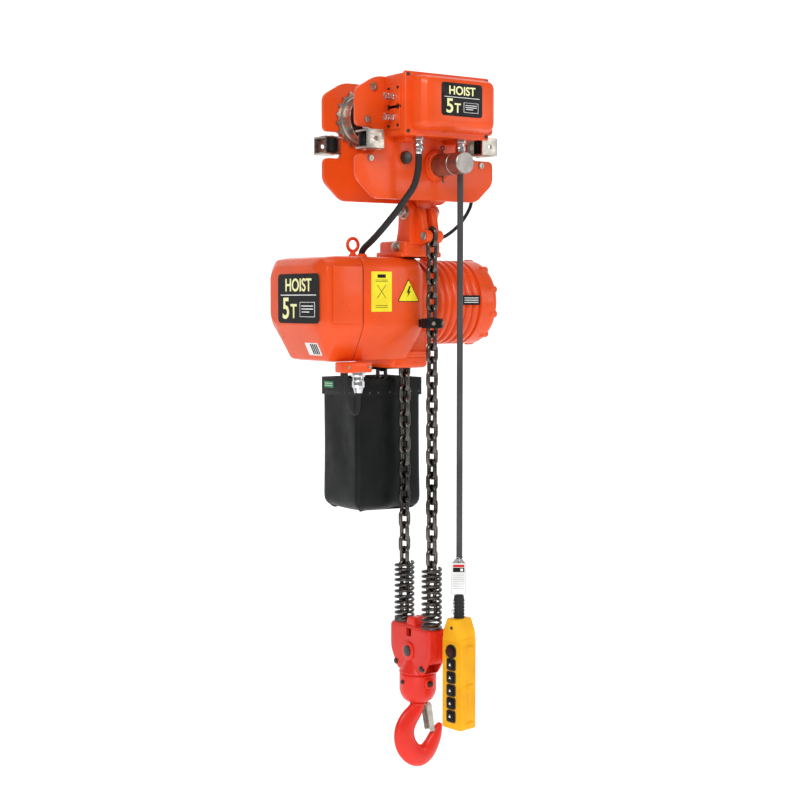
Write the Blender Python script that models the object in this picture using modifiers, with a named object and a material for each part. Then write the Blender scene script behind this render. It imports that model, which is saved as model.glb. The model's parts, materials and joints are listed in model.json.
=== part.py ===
"""Electric chain hoist of two falls on an electric beam trolley, with pendant, chain bag and hook block.

Metres, +Z up. The origin is on the load line, in the plane where the trolley's wheels roll.
X runs along the beam.
"""

from math import cos, pi, radians, sin

import bmesh
import bpy
from mathutils import Matrix, Vector

GAP = 0.0003  # between faces that touch on the real object
RUNNING = 0.0005  # between a shaft and its bore, and beside a turning piece

# Beam and trolley
FLANGE_HALF_WIDTH = 0.060
PLATE_INNER_Y = 0.070
PLATE_THICKNESS = 0.012
PLATE_LEFT_X = -0.250
PLATE_RIGHT_X = 0.185
PLATE_TOP_Z = 0.156
PLATE_BOTTOM_Z = -0.150
WHEEL_RADIUS = 0.0625
WHEEL_SPACING = 0.210
RIM_RADIUS = 0.072
AXLE_RADIUS = 0.015
SHAFT_RADIUS = 0.028
SHAFT_Z = -0.060
SHAFT_FRONT_Y = -0.205
SHAFT_BACK_Y = 0.112
GUIDE_INSETS = {"near": {"left": 0.029, "right": 0.045}, "far": {"left": 0.029, "right": 0.029}}
GUIDE_Z = -0.006
GUIDE_HEIGHT = 0.047
GUIDE_WIDTH = 0.050
GUIDE_REACH = 0.045
GUIDE_ROLLER_RADIUS = 0.016
GEAR_TEETH = 20
PINION_TEETH = 8

# Control box on the trolley
BOX_LEFT_X = -0.164
BOX_RIGHT_X = 0.095
BOX_BOTTOM_Z = 0.006
BOX_TOP_Z = 0.158
BOX_JOINT_Y = -0.164
BOX_FRONT_Y = -0.225
BOX_WALL = 0.004

# Hoist body
BODY_Y = 0.118
BODY_Z = -0.414
BODY_HALF_WIDTH = 0.145
BODY_TOP_Z = -0.295
BODY_BOTTOM_Z = -0.568
COVER_LEFT_X = -0.316
CASE_LEFT_X = -0.192
CASE_RIGHT_X = 0.020
CASE_WALL = 0.008
CHUTE_BOTTOM_Z = -0.590
NECK_RIGHT_X = 0.065
NECK_RADIUS = 0.117
MOTOR_RADIUS = 0.116
MOTOR_RIGHT_X = 0.235
CAP_RIGHT_X = 0.285
LIFTING_BOLT_Z = -0.175

# Chain, hook block and hook
CHAIN_PITCH = 0.034
CHAIN_WIRE = 0.0112
CHAIN_WIDTH = 0.037
LINK_SIDES = 4  # of its wire's section
LINK_OVERLAP = 0.0003  # so that links which touch make one solid
FALL_Y = 0.063
LOAD_SHEAVE_RADIUS = 0.055
LIVE_TOP_Z = -0.480
ANCHOR_TOP_Z = -0.231
ANCHOR_PIN_RADIUS = 0.006
ANCHOR_PIN_Z = ANCHOR_TOP_Z - 0.0105
SPRING_TOP_Z = -1.116
SPRING_RADIUS = 0.0235
SPRING_TURNS = 7
BLOCK_TOP_Z = -1.280
BLOCK_HALF_THICKNESS = 0.031
BLOCK_HALF_WIDTH = 0.090
BOTTOM_SHEAVE_Z = -1.343
BOTTOM_SHEAVE_RADIUS = 0.060
HOLDER_TOP_Z = -1.410
HOLDER_BOTTOM_Z = -1.491
HOLDER_RADIUS = 0.050
SHANK_RADIUS = 0.020
HOOK_HALF_THICKNESS = 0.018
HOOK_OUTLINE = (
    (0.020, -1.508), (0.012, -1.520), (-0.002, -1.536), (-0.012, -1.556), (-0.012, -1.578),
    (-0.004, -1.600), (0.010, -1.611), (0.026, -1.606), (0.042, -1.590), (0.056, -1.572),
    (0.070, -1.558), (0.079, -1.556), (0.083, -1.563), (0.080, -1.580), (0.071, -1.610),
    (0.055, -1.642), (0.032, -1.664), (0.005, -1.673), (-0.026, -1.665), (-0.052, -1.645),
    (-0.070, -1.615), (-0.077, -1.585), (-0.073, -1.555), (-0.060, -1.527), (-0.040, -1.508),
)
LATCH_OUTLINE = (
    (0.0240, -1.4975), (0.0310, -1.4965), (0.0345, -1.5000), (0.0470, -1.5790),
    (0.0435, -1.5800), (0.0300, -1.5085), (0.0240, -1.5050),
)
LATCH_PIVOT = (0.028, 0, -1.502)

# Chain bag
BAG_LEFT_X = -0.129
BAG_RIGHT_X = 0.081
BAG_FRONT_Y = 0.098
BAG_BACK_Y = 0.277
BAG_TOP_Z = -0.619
BAG_BOTTOM_Z = -0.980
BAG_WALL = 0.004

# Pendant
PENDANT_X = 0.037
PENDANT_Y = -0.135
CABLE_RADIUS = 0.008
CABLE_DROP = 0.002  # below its gland, so that it can swing
PENDANT_TOP_Z = -1.244
PENDANT_BOTTOM_Z = -1.540
PENDANT_HALF_WIDTH = 0.035
PENDANT_HALF_DEPTH = 0.028
PENDANT_TURN = radians(-82)
BUTTON_RADIUS = 0.010
BUTTON_PITCH = 0.0345
STOP_RADIUS = 0.015
STOP_Z = -1.330

# Leads that hang between the trolley and the hoist body
LEAD_RADIUS = 0.0085
THIN_LEAD_RADIUS = 0.0045
GLAND_LENGTH = 0.0445
BOX_LEAD_ROUTE = (
    (-0.096, -0.135, -0.0395), (-0.096, -0.135, -0.062), (-0.099, -0.133, -0.092),
    (-0.106, -0.126, -0.122), (-0.117, -0.108, -0.150), (-0.128, -0.086, -0.180),
    (-0.137, -0.058, -0.208), (-0.143, -0.026, -0.234), (-0.146, 0.008, -0.256),
    (-0.146, 0.036, -0.270), (-0.146, 0.050, -0.282), (-0.146, 0.050, -0.2945),
)
MOTOR_LEAD_ROUTE = (
    (0.0530, 0.150, 0.030), (0.075, 0.151, 0.029), (0.106, 0.151, 0.024), (0.142, 0.150, 0.012),
    (0.176, 0.148, -0.005), (0.211, 0.147, -0.027), (0.245, 0.146, -0.053), (0.272, 0.144, -0.083),
    (0.285, 0.141, -0.112), (0.282, 0.138, -0.140), (0.261, 0.133, -0.170), (0.232, 0.128, -0.198),
    (0.200, 0.124, -0.220), (0.170, 0.121, -0.234), (0.142, 0.118, -0.239), (0.122, 0.116, -0.240),
    (0.111, 0.116, -0.245), (0.110, 0.116, -0.254), (0.110, 0.116, -0.2643),
)
LIMIT_CABLE_ROUTE = (
    (-0.232, -0.004, -0.5955), (-0.232, -0.004, -0.620), (-0.230, -0.004, -0.645),
    (-0.226, -0.004, -0.668), (-0.219, -0.004, -0.688), (-0.209, -0.004, -0.700),
    (-0.200, -0.004, -0.700), (-0.195, -0.004, -0.688), (-0.194, -0.004, -0.670),
    (-0.194, -0.004, -0.6490),
)

TURNED_FRAMES = {
    "X": Matrix(((0, 0, 1), (1, 0, 0), (0, 1, 0))),
    "Y": Matrix(((0, 1, 0), (0, 0, 1), (1, 0, 0))),
    "Z": Matrix.Identity(3),
}
OUTLINE_FRAMES = {
    "X": Matrix(((0, 0, 1), (1, 0, 0), (0, 1, 0))),
    "Y": Matrix(((1, 0, 0), (0, 0, -1), (0, 1, 0))),
    "Z": Matrix.Identity(3),
}


# ---------- helpers ----------

def clear_scene():
    for obj in list(bpy.data.objects):
        bpy.data.objects.remove(obj, do_unlink=True)
    for collection in list(bpy.data.collections):
        bpy.data.collections.remove(collection)


def new_collection(name, hidden=False):
    collection = bpy.data.collections.new(name)
    bpy.context.scene.collection.children.link(collection)
    collection.hide_render = hidden
    return collection


clear_scene()
PARTS = new_collection("chain_hoist")
SCRAP = new_collection("working_shapes", hidden=True)


def keep(name, data):
    """A new object for this mesh or curve, among the working shapes until finish moves it."""
    obj = bpy.data.objects.new(name, data)
    SCRAP.objects.link(obj)
    return obj


def baked(obj):
    """The object's evaluated shape in world coordinates, as a plain mesh object that replaces it."""
    graph = bpy.context.evaluated_depsgraph_get()
    graph.update()
    mesh = bpy.data.meshes.new_from_object(obj.evaluated_get(graph))
    mesh.transform(obj.matrix_world)
    work = bmesh.new()
    work.from_mesh(mesh)
    bmesh.ops.remove_doubles(work, verts=work.verts, dist=1e-6)
    bmesh.ops.recalc_face_normals(work, faces=work.faces)
    work.to_mesh(mesh)
    work.free()
    name = obj.name
    bpy.data.objects.remove(obj)
    return keep(name, mesh)


def box(name, low, high, chamfer=0.0, segments=1):
    work = bmesh.new()
    bmesh.ops.create_cube(work, size=1.0)
    size = Vector(high) - Vector(low)
    middle = (Vector(high) + Vector(low)) / 2
    bmesh.ops.scale(work, vec=size, verts=work.verts)
    bmesh.ops.translate(work, vec=middle, verts=work.verts)
    if chamfer:
        edges = work.edges
        bmesh.ops.bevel(work, geom=edges, offset=chamfer, segments=segments, profile=0.5, affect="EDGES")
    mesh = bpy.data.meshes.new(name)
    work.to_mesh(mesh)
    work.free()
    return keep(name, mesh)


def cylinder(name, start, axis, radius, length, sides=24, end_radius=None):
    """A cylinder or cone along +axis from the middle of its first face."""
    work = bmesh.new()
    top = radius if end_radius is None else end_radius
    bmesh.ops.create_cone(work, cap_ends=True, segments=sides, radius1=radius, radius2=top, depth=length)
    bmesh.ops.translate(work, vec=(0, 0, length / 2), verts=work.verts)
    bmesh.ops.rotate(work, matrix=TURNED_FRAMES[axis], verts=work.verts)
    bmesh.ops.translate(work, vec=start, verts=work.verts)
    mesh = bpy.data.meshes.new(name)
    work.to_mesh(mesh)
    work.free()
    return keep(name, mesh)


def turned(name, profile, origin, axis, steps=28, closed=False):
    """Turns (radius, height) points round an axis: a ring if closed, else the profile ends on the axis."""
    mesh = bpy.data.meshes.new(name)
    points = [(radius, 0.0, height) for radius, height in profile]
    edges = [(i, i + 1) for i in range(len(points) - 1)]
    if closed:
        edges.append((len(points) - 1, 0))
    mesh.from_pydata(points, edges, [])
    obj = keep(name, mesh)
    screw = obj.modifiers.new("turn", "SCREW")
    screw.axis = "Z"
    screw.steps = steps
    screw.render_steps = steps
    screw.use_merge_vertices = True
    screw.merge_threshold = 0.00001
    obj.matrix_world = Matrix.Translation(origin) @ TURNED_FRAMES[axis].to_4x4()
    bpy.context.view_layer.update()
    return baked(obj)


def plate(name, outline, axis, start, end):
    """A flat outline, given as its two world coordinates in X, Y, Z order, from start to end along axis."""
    curve = bpy.data.curves.new(name, "CURVE")
    curve.dimensions = "2D"
    curve.fill_mode = "BOTH"
    curve.extrude = (end - start) / 2
    spline = curve.splines.new("POLY")
    spline.points.add(len(outline) - 1)
    for point, (first, second) in zip(spline.points, outline):
        point.co = (first, second, 0, 1)
    spline.use_cyclic_u = True
    obj = keep(name, curve)
    middle = Vector([(start + end) / 2 if letter == axis else 0 for letter in "XYZ"])
    obj.matrix_world = Matrix.Translation(middle) @ OUTLINE_FRAMES[axis].to_4x4()
    bpy.context.view_layer.update()
    return baked(obj)


def tube(name, points, radius, resolution=1, cyclic=False):
    curve = bpy.data.curves.new(name, "CURVE")
    curve.dimensions = "3D"
    curve.bevel_depth = radius
    curve.bevel_resolution = resolution
    curve.use_fill_caps = not cyclic
    spline = curve.splines.new("POLY")
    spline.points.add(len(points) - 1)
    for point, place in zip(spline.points, points):
        point.co = (*place, 1)
    spline.use_cyclic_u = cyclic
    return baked(keep(name, curve))


def boolean(obj, operation, others):
    """Joins the others to obj or cuts them from it, and leaves one plain mesh."""
    group = bpy.data.collections.new(obj.name + "_" + operation.lower())
    SCRAP.children.link(group)
    for other in others:
        group.objects.link(other)
        other.display_type = "WIRE"
    modifier = obj.modifiers.new(operation.lower(), "BOOLEAN")
    modifier.operation = operation
    modifier.operand_type = "COLLECTION"
    modifier.collection = group
    modifier.solver = "EXACT"
    result = baked(obj)
    for other in others:
        bpy.data.objects.remove(other)
    bpy.data.collections.remove(group)
    return result


def joined(obj, *others):
    return boolean(obj, "UNION", others)


def cut(obj, *others):
    return boolean(obj, "DIFFERENCE", others)


def chamfered(width, height, corner, middle=(0.0, 0.0)):
    """A rectangle's outline with cut corners."""
    a, b = width / 2, height / 2
    points = [
        (a - corner, -b), (a, -b + corner), (a, b - corner), (a - corner, b),
        (-a + corner, b), (-a, b - corner), (-a, -b + corner), (-a + corner, -b),
    ]
    return [(x + middle[0], y + middle[1]) for x, y in points]


def arc(middle, radius, start, end, count):
    angles = [radians(start + (end - start) * i / count) for i in range(count + 1)]
    return [(middle[0] + radius * cos(a), middle[1] + radius * sin(a)) for a in angles]


def gear_outline(middle, teeth, root, tip, turn=0.0):
    """Straight-flanked teeth, each with a narrower tip than root, in outline."""
    points = []
    for tooth in range(teeth):
        for share, radius in ((-0.27, root), (-0.13, tip), (0.13, tip), (0.27, root)):
            angle = 2 * pi * (tooth + share) / teeth + turn
            points.append((middle[0] + radius * cos(angle), middle[1] + radius * sin(angle)))
    return points


MATERIALS = {}


def material(name, colour, roughness, metallic=0.0):
    if name not in MATERIALS:
        made = bpy.data.materials.new(name)
        made.use_nodes = True
        shader = made.node_tree.nodes["Principled BSDF"]
        shader.inputs["Base Color"].default_value = (*colour, 1)
        shader.inputs["Roughness"].default_value = roughness
        shader.inputs["Metallic"].default_value = metallic
        MATERIALS[name] = made
    return MATERIALS[name]


def red_paint():
    return material("red_paint", (0.80, 0.07, 0.015), 0.35)


def hook_red():
    return material("hook_red", (0.72, 0.03, 0.02), 0.4)


def steel():
    return material("steel", (0.55, 0.53, 0.50), 0.35, 1.0)


def dark_steel():
    return material("dark_steel", (0.09, 0.085, 0.08), 0.4, 1.0)


def chrome():
    return material("chrome", (0.75, 0.75, 0.77), 0.15, 1.0)


def black_rubber():
    return material("black_rubber", (0.02, 0.02, 0.02), 0.6)


def black_plastic():
    return material("black_plastic", (0.012, 0.012, 0.013), 0.4)


def bag_fabric():
    return material("bag_fabric", (0.008, 0.010, 0.009), 0.5)


def yellow_plastic():
    return material("yellow_plastic", (0.85, 0.38, 0.02), 0.45)


EMPTIES = {}


def body_empty(name, place=(0, 0, 0)):
    """The empty that carries one moving body, on its joint's axis."""
    if name not in EMPTIES:
        empty = bpy.data.objects.new(name + "_axis", None)
        empty.location = place
        PARTS.objects.link(empty)
        EMPTIES[name] = empty
    return EMPTIES[name]


def finish(obj, name, surface, empty):
    """Names the finished sub-part, gives it its material and hangs it on its body's empty."""
    obj.name = name
    obj.data.name = name
    obj.data.materials.clear()
    obj.data.materials.append(surface)
    for polygon in obj.data.polygons:
        polygon.material_index = 0
    obj.data.shade_smooth()
    obj.data.set_sharp_from_angle(angle=radians(32))
    SCRAP.objects.unlink(obj)
    PARTS.objects.link(obj)
    bpy.context.view_layer.update()
    obj.parent = empty
    obj.matrix_parent_inverse = empty.matrix_world.inverted()
    return obj


# ---------- trolley ----------

WHEEL_MIDDLE_X = (PLATE_LEFT_X + PLATE_RIGHT_X) / 2
WHEEL_XS = {"left": WHEEL_MIDDLE_X - WHEEL_SPACING / 2, "right": WHEEL_MIDDLE_X + WHEEL_SPACING / 2}
PLATE_OUTER_Y = PLATE_INNER_Y + PLATE_THICKNESS
SIDES = {"near": -1, "far": 1}
GUIDE_Y = FLANGE_HALF_WIDTH + GUIDE_ROLLER_RADIUS + 0.001
COLLAR_RADIUS = SHAFT_RADIUS + 0.013


def span(side, inner, outer):
    """The low and high Y of something between two distances from the beam's middle, on this side."""
    return tuple(sorted((SIDES[side] * inner, SIDES[side] * outer)))


def guide_x(side, end):
    inset = GUIDE_INSETS[side][end]
    return PLATE_LEFT_X + inset if end == "left" else PLATE_RIGHT_X - inset


def side_plate(side):
    bottom, top, left, right = PLATE_BOTTOM_Z, PLATE_TOP_Z, PLATE_LEFT_X, PLATE_RIGHT_X
    notch_left = guide_x(side, "left") + GUIDE_WIDTH / 2 + 0.0005
    notch_right = guide_x(side, "right") - GUIDE_WIDTH / 2 - 0.0005
    notch_low, notch_high = GUIDE_Z - 0.034, GUIDE_Z + 0.034
    outline = [
        (left + 0.055, bottom), (right - 0.055, bottom), (right, bottom + 0.050),
        (right, notch_low), (notch_right, notch_low), (notch_right, notch_high),
        (right, notch_high), (right, top - 0.040), (right - 0.040, top),
        (left + 0.060, top), (left, top - 0.035), (left, notch_high),
        (notch_left, notch_high), (notch_left, notch_low), (left, notch_low),
        (left, bottom + 0.050),
    ]
    low, high = span(side, PLATE_INNER_Y, PLATE_OUTER_Y)
    body = plate("plate", outline, "Y", low, high)
    collar_low, collar_high = span(side, PLATE_INNER_Y + 0.004, PLATE_OUTER_Y + 0.014)
    collar = cylinder("collar", (0, collar_low, SHAFT_Z), "Y", COLLAR_RADIUS, collar_high - collar_low)
    axle_low, axle_high = span(side, PLATE_INNER_Y - 0.052, PLATE_INNER_Y + 0.006)
    axles = [
        cylinder("axle", (x, axle_low, WHEEL_RADIUS), "Y", AXLE_RADIUS, axle_high - axle_low, 20)
        for x in WHEEL_XS.values()
    ]
    body = joined(body, collar, *axles)
    bore = cylinder("bore", (0, -0.2, SHAFT_Z), "Y", SHAFT_RADIUS + GAP, 0.4, 32)
    holes = [bore]
    if side == "far":
        holes.append(cylinder("pinion_hole", (WHEEL_MIDDLE_X, 0, WHEEL_RADIUS), "Y", 0.012, 0.2, 20))
    body = cut(body, *holes)
    return finish(body, side + "_side_plate", red_paint(), ROOT)


def suspension_shaft():
    chamfer = 0.002
    profile = [
        (0, SHAFT_BACK_Y), (SHAFT_RADIUS - chamfer, SHAFT_BACK_Y), (SHAFT_RADIUS, SHAFT_BACK_Y - chamfer),
        (SHAFT_RADIUS, SHAFT_FRONT_Y + chamfer), (SHAFT_RADIUS - chamfer, SHAFT_FRONT_Y), (0, SHAFT_FRONT_Y),
    ]
    body = turned("shaft", profile, (0, 0, SHAFT_Z), "Y")
    return finish(body, "suspension_shaft", steel(), ROOT)


def wheel(side, end):
    x = WHEEL_XS[end]
    inner, rim, outer = 0.022, FLANGE_HALF_WIDTH + 0.0015, PLATE_INNER_Y - 0.001
    bore = AXLE_RADIUS + RUNNING
    profile = [(bore, outer - 0.0005), (WHEEL_RADIUS, outer - 0.0005), (WHEEL_RADIUS, inner), (bore, inner)]
    if side == "near":
        profile = [
            (bore, outer), (RIM_RADIUS, outer), (RIM_RADIUS, rim), (WHEEL_RADIUS, rim - 0.003),
            (WHEEL_RADIUS, inner), (bore, inner),
        ]
        mirrored = [(radius, -height) for radius, height in reversed(profile)]
        body = turned("wheel", mirrored, (x, 0, WHEEL_RADIUS), "Y", 24, closed=True)
    else:
        body = turned("wheel", profile, (x, 0, WHEEL_RADIUS), "Y", 24, closed=True)
        teeth = gear_outline((x, WHEEL_RADIUS), GEAR_TEETH, 0.0715, 0.0785, pi / GEAR_TEETH)
        ring = plate("ring", teeth, "Y", rim, outer)
        hole = cylinder("hole", (x, 0, WHEEL_RADIUS), "Y", WHEEL_RADIUS - 0.004, 0.2, 24)
        body = joined(body, cut(ring, hole))
    name = f"{side}_wheel_{end}"
    return finish(body, name, steel(), body_empty(name, (x, 0, WHEEL_RADIUS)))


def drive_pinion():
    x = WHEEL_MIDDLE_X
    rim, outer = FLANGE_HALF_WIDTH + 0.0015, PLATE_INNER_Y - 0.001
    teeth = gear_outline((x, WHEEL_RADIUS), PINION_TEETH, 0.0255, 0.0325)
    body = plate("pinion", teeth, "Y", rim, outer)
    shaft = cylinder("shaft", (x, rim + 0.002, WHEEL_RADIUS), "Y", 0.011, 0.090, 20)
    body = joined(body, shaft)
    return finish(body, "drive_pinion", steel(), body_empty("drive_pinion", (x, 0, WHEEL_RADIUS)))


def drive_gearbox():
    x, z = WHEEL_MIDDLE_X, WHEEL_RADIUS
    front, back = PLATE_OUTER_Y + GAP, PLATE_OUTER_Y + 0.085
    outline = chamfered(0.150, 0.130, 0.030, (x + 0.010, z))
    body = plate("gearbox", outline, "Y", front, back)
    hollow = plate("hollow", chamfered(0.134, 0.114, 0.024, (x + 0.010, z)), "Y", front - 0.01, back - 0.008)
    return finish(cut(body, hollow), "drive_gearbox", red_paint(), ROOT)


def drive_motor():
    x, z, y = WHEEL_MIDDLE_X + 0.030, WHEEL_RADIUS, PLATE_OUTER_Y + 0.085 + GAP
    profile = [
        (0, 0.150), (0.040, 0.150), (0.054, 0.136), (0.054, 0.104), (0.050, 0.100),
        (0.050, 0.016), (0.058, 0.016), (0.058, 0.0), (0, 0.0),
    ]
    body = turned("drive_motor", profile, (x, y, z), "Y", 18)
    return finish(body, "drive_motor", red_paint(), ROOT)


def guide_bracket(side, end):
    """A bent steel channel that holds one guide roller in the notch of its side plate."""
    x = guide_x(side, end)
    inward = 1 if end == "left" else -1
    low_z, high_z = GUIDE_Z - GUIDE_HEIGHT / 2, GUIDE_Z + GUIDE_HEIGHT / 2
    wall = 0.005
    front, back = PLATE_OUTER_Y + GUIDE_REACH, PLATE_OUTER_Y + GAP
    low, high = span(side, front - wall, front)
    half = GUIDE_WIDTH / 2
    body = box("web", (x - half, low, low_z), (x + half, high, high_z))
    pieces = []
    for edge_z in (low_z, high_z - wall):
        low, high = span(side, PLATE_INNER_Y + 0.001, front)
        pieces.append(box("flange", (x - half, low, edge_z), (x + half, high, edge_z + wall)))
    ear_near, ear_far = sorted((x + inward * (half - 0.004), x + inward * (half + 0.018)))
    low, high = span(side, back, back + wall)
    pieces.append(box("ear", (ear_near, low, low_z), (ear_far, high, high_z)))
    pin_y = SIDES[side] * GUIDE_Y
    pieces.append(cylinder("pin", (x, pin_y, low_z + 0.001), "Z", 0.005, GUIDE_HEIGHT - 0.002, 12))
    body = joined(body, *pieces)
    low, high = span(side, front - 2 * wall, front + wall)
    body = cut(body, cylinder("hole", (x, low, GUIDE_Z), "Y", 0.006, high - low, 16))
    return finish(body, f"guide_bracket_{side}_{end}", steel(), ROOT)


def guide_roller(side, end):
    x, y = guide_x(side, end), SIDES[side] * GUIDE_Y
    half = GUIDE_HEIGHT / 2 - 0.0055
    bore, edge = 0.005 + RUNNING, 0.002
    profile = [
        (bore, half), (GUIDE_ROLLER_RADIUS - edge, half), (GUIDE_ROLLER_RADIUS, half - edge),
        (GUIDE_ROLLER_RADIUS, -half + edge), (GUIDE_ROLLER_RADIUS - edge, -half), (bore, -half),
    ]
    body = turned("roller", profile, (x, y, GUIDE_Z), "Z", 14, closed=True)
    name = f"guide_roller_{side}_{end}"
    return finish(body, name, black_plastic(), body_empty(name, (x, y, GUIDE_Z)))


# ---------- control box ----------

def control_box():
    low = (BOX_LEFT_X, BOX_JOINT_Y, BOX_BOTTOM_Z)
    high = (BOX_RIGHT_X, -PLATE_OUTER_Y - GAP, BOX_TOP_Z)
    body = box("base", low, high, 0.004)
    glands = [
        cylinder("gland", (BOX_LEFT_X - 0.030, -0.125, z), "X", 0.014, 0.034, 12)
        for z in (BOX_BOTTOM_Z + 0.044, BOX_TOP_Z - 0.058)
    ]
    body = joined(body, *glands)
    hollow = box(
        "hollow", (low[0] + BOX_WALL, low[1] - 0.01, low[2] + BOX_WALL),
        (high[0] - BOX_WALL, high[1] - BOX_WALL, high[2] - BOX_WALL),
    )
    return finish(cut(body, hollow), "control_box", red_paint(), ROOT)


def control_box_lid():
    back, rim, front = BOX_JOINT_Y - GAP, BOX_JOINT_Y - 0.012, BOX_FRONT_Y
    low = (BOX_LEFT_X - 0.003, rim, BOX_BOTTOM_Z - 0.003)
    high = (BOX_RIGHT_X + 0.003, back, BOX_TOP_Z + 0.003)
    body = box("rim", low, high)
    low = (BOX_LEFT_X + 0.014, front, BOX_BOTTOM_Z + 0.010)
    high = (BOX_RIGHT_X - 0.006, rim + 0.020, BOX_TOP_Z - 0.006)
    dome = box("dome", low, high, 0.012, 2)
    dome = cut(dome, box("dome_back", (-1, rim + 0.004, -1), (1, 0, 1)))
    body = joined(body, dome)
    low = (low[0] + 0.010, front + BOX_WALL, low[2] + 0.010)
    high = (high[0] - 0.010, back + 0.010, high[2] - 0.010)
    return finish(cut(body, box("hollow", low, high)), "control_box_lid", red_paint(), ROOT)


def trolley_contactors():
    y = -PLATE_OUTER_Y - BOX_WALL - 2 * GAP
    left, right, middle_z = BOX_LEFT_X + 0.020, BOX_RIGHT_X - 0.020, (BOX_BOTTOM_Z + BOX_TOP_Z) / 2
    body = box("panel", (left, y - 0.003, BOX_BOTTOM_Z + 0.015), (right, y, BOX_TOP_Z - 0.015))
    contactors = [
        box("contactor", (x, y - 0.060, middle_z - 0.030), (x + 0.045, y - 0.002, middle_z + 0.035))
        for x in (left + 0.020, left + 0.080, left + 0.140)
    ]
    return finish(joined(body, *contactors), "trolley_contactors", black_plastic(), ROOT)


def box_gland(name, x):
    top = BOX_BOTTOM_Z - GAP
    profile = [
        (0.0, 0.0), (0.015, 0.0), (0.015, -0.010), (0.011, -0.012), (0.011, -0.030), (0.009, -GLAND_LENGTH),
        (0.0, -GLAND_LENGTH),
    ]
    body = turned("gland", profile, (x, PENDANT_Y, top), "Z", 12)
    return finish(body, name, chrome(), ROOT)


# ---------- suspension between the trolley and the hoist ----------

def suspender():
    eye = cylinder("eye", (0, -0.055, SHAFT_Z), "Y", SHAFT_RADIUS + 0.012, 0.110, 28)
    tongue = box("tongue", (-0.022, -0.028, LIFTING_BOLT_Z), (0.022, 0.028, SHAFT_Z - 0.010))
    end = cylinder("end", (-0.022, 0, LIFTING_BOLT_Z), "X", 0.028, 0.044, 24)
    body = joined(eye, tongue, end)
    bore = cylinder("bore", (0, -0.1, SHAFT_Z), "Y", SHAFT_RADIUS + RUNNING, 0.2, 32)
    cross = cylinder("cross", (-0.1, 0, LIFTING_BOLT_Z), "X", 0.011 + RUNNING, 0.2, 20)
    empty = body_empty("suspender", (0, 0, SHAFT_Z))
    return finish(cut(body, bore, cross), "suspender", red_paint(), empty)


def lifting_bolt():
    reach = 0.047
    shank = cylinder("shank", (-reach - 0.006, 0, LIFTING_BOLT_Z), "X", 0.011, 2 * reach + 0.012, 20)
    head = cylinder("head", (-reach - 0.014, 0, LIFTING_BOLT_Z), "X", 0.019, 0.0135, 6)
    nut = cylinder("nut", (reach + 0.0005, 0, LIFTING_BOLT_Z), "X", 0.019, 0.0135, 6)
    return finish(joined(shank, head, nut), "lifting_bolt", steel(), body_empty("hoist"))


def suspension_yoke():
    """The casting on the hoist body: two cheeks at the lifting bolt and the ears of the chain anchor."""
    base = box("base", (-0.062, -0.026, BODY_TOP_Z + GAP), (0.055, 0.095, -0.245), 0.006)
    pieces = []
    for inner, outer in ((-0.046, -0.0235), (0.0235, 0.046)):
        pieces.append(box("cheek", (inner, -0.026, -0.250), (outer, 0.026, LIFTING_BOLT_Z)))
        pieces.append(cylinder("cheek_end", (inner, 0, LIFTING_BOLT_Z), "X", 0.026, outer - inner, 24))
    ear_z = ANCHOR_PIN_Z
    for inner, outer in ((-0.024, -0.010), (0.010, 0.024)):
        pieces.append(box("ear", (inner, -FALL_Y, ear_z - 0.016), (outer, 0.0, ear_z + 0.016)))
        pieces.append(cylinder("ear_end", (inner, -FALL_Y, ear_z), "X", 0.016, outer - inner, 20))
    bridge = box("bridge", (-0.0235, -0.0255, -0.252), (0.0235, 0.026, -0.215))
    body = joined(base, *pieces, bridge)
    bolt = cylinder("bolt", (-0.1, 0, LIFTING_BOLT_Z), "X", 0.011 + GAP, 0.2, 20)
    pin = cylinder("pin", (-0.1, -FALL_Y, ear_z), "X", ANCHOR_PIN_RADIUS + GAP, 0.2, 16)
    return finish(cut(body, bolt, pin), "suspension_yoke", red_paint(), body_empty("hoist"))


def anchor_pin():
    z = ANCHOR_PIN_Z
    body = cylinder("pin", (-0.030, -FALL_Y, z), "X", ANCHOR_PIN_RADIUS, 0.060, 16)
    head = cylinder("head", (-0.035, -FALL_Y, z), "X", 0.011, 0.0105, 16)
    return finish(joined(body, head), "anchor_pin", steel(), body_empty("hoist"))


# ---------- hoist body ----------

def body_outline(inset=0.0, corner=0.045):
    width = 2 * (BODY_HALF_WIDTH - inset)
    height = BODY_TOP_Z - BODY_BOTTOM_Z - 2 * inset
    return chamfered(width, height, corner, (BODY_Y, (BODY_TOP_Z + BODY_BOTTOM_Z) / 2))


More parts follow.
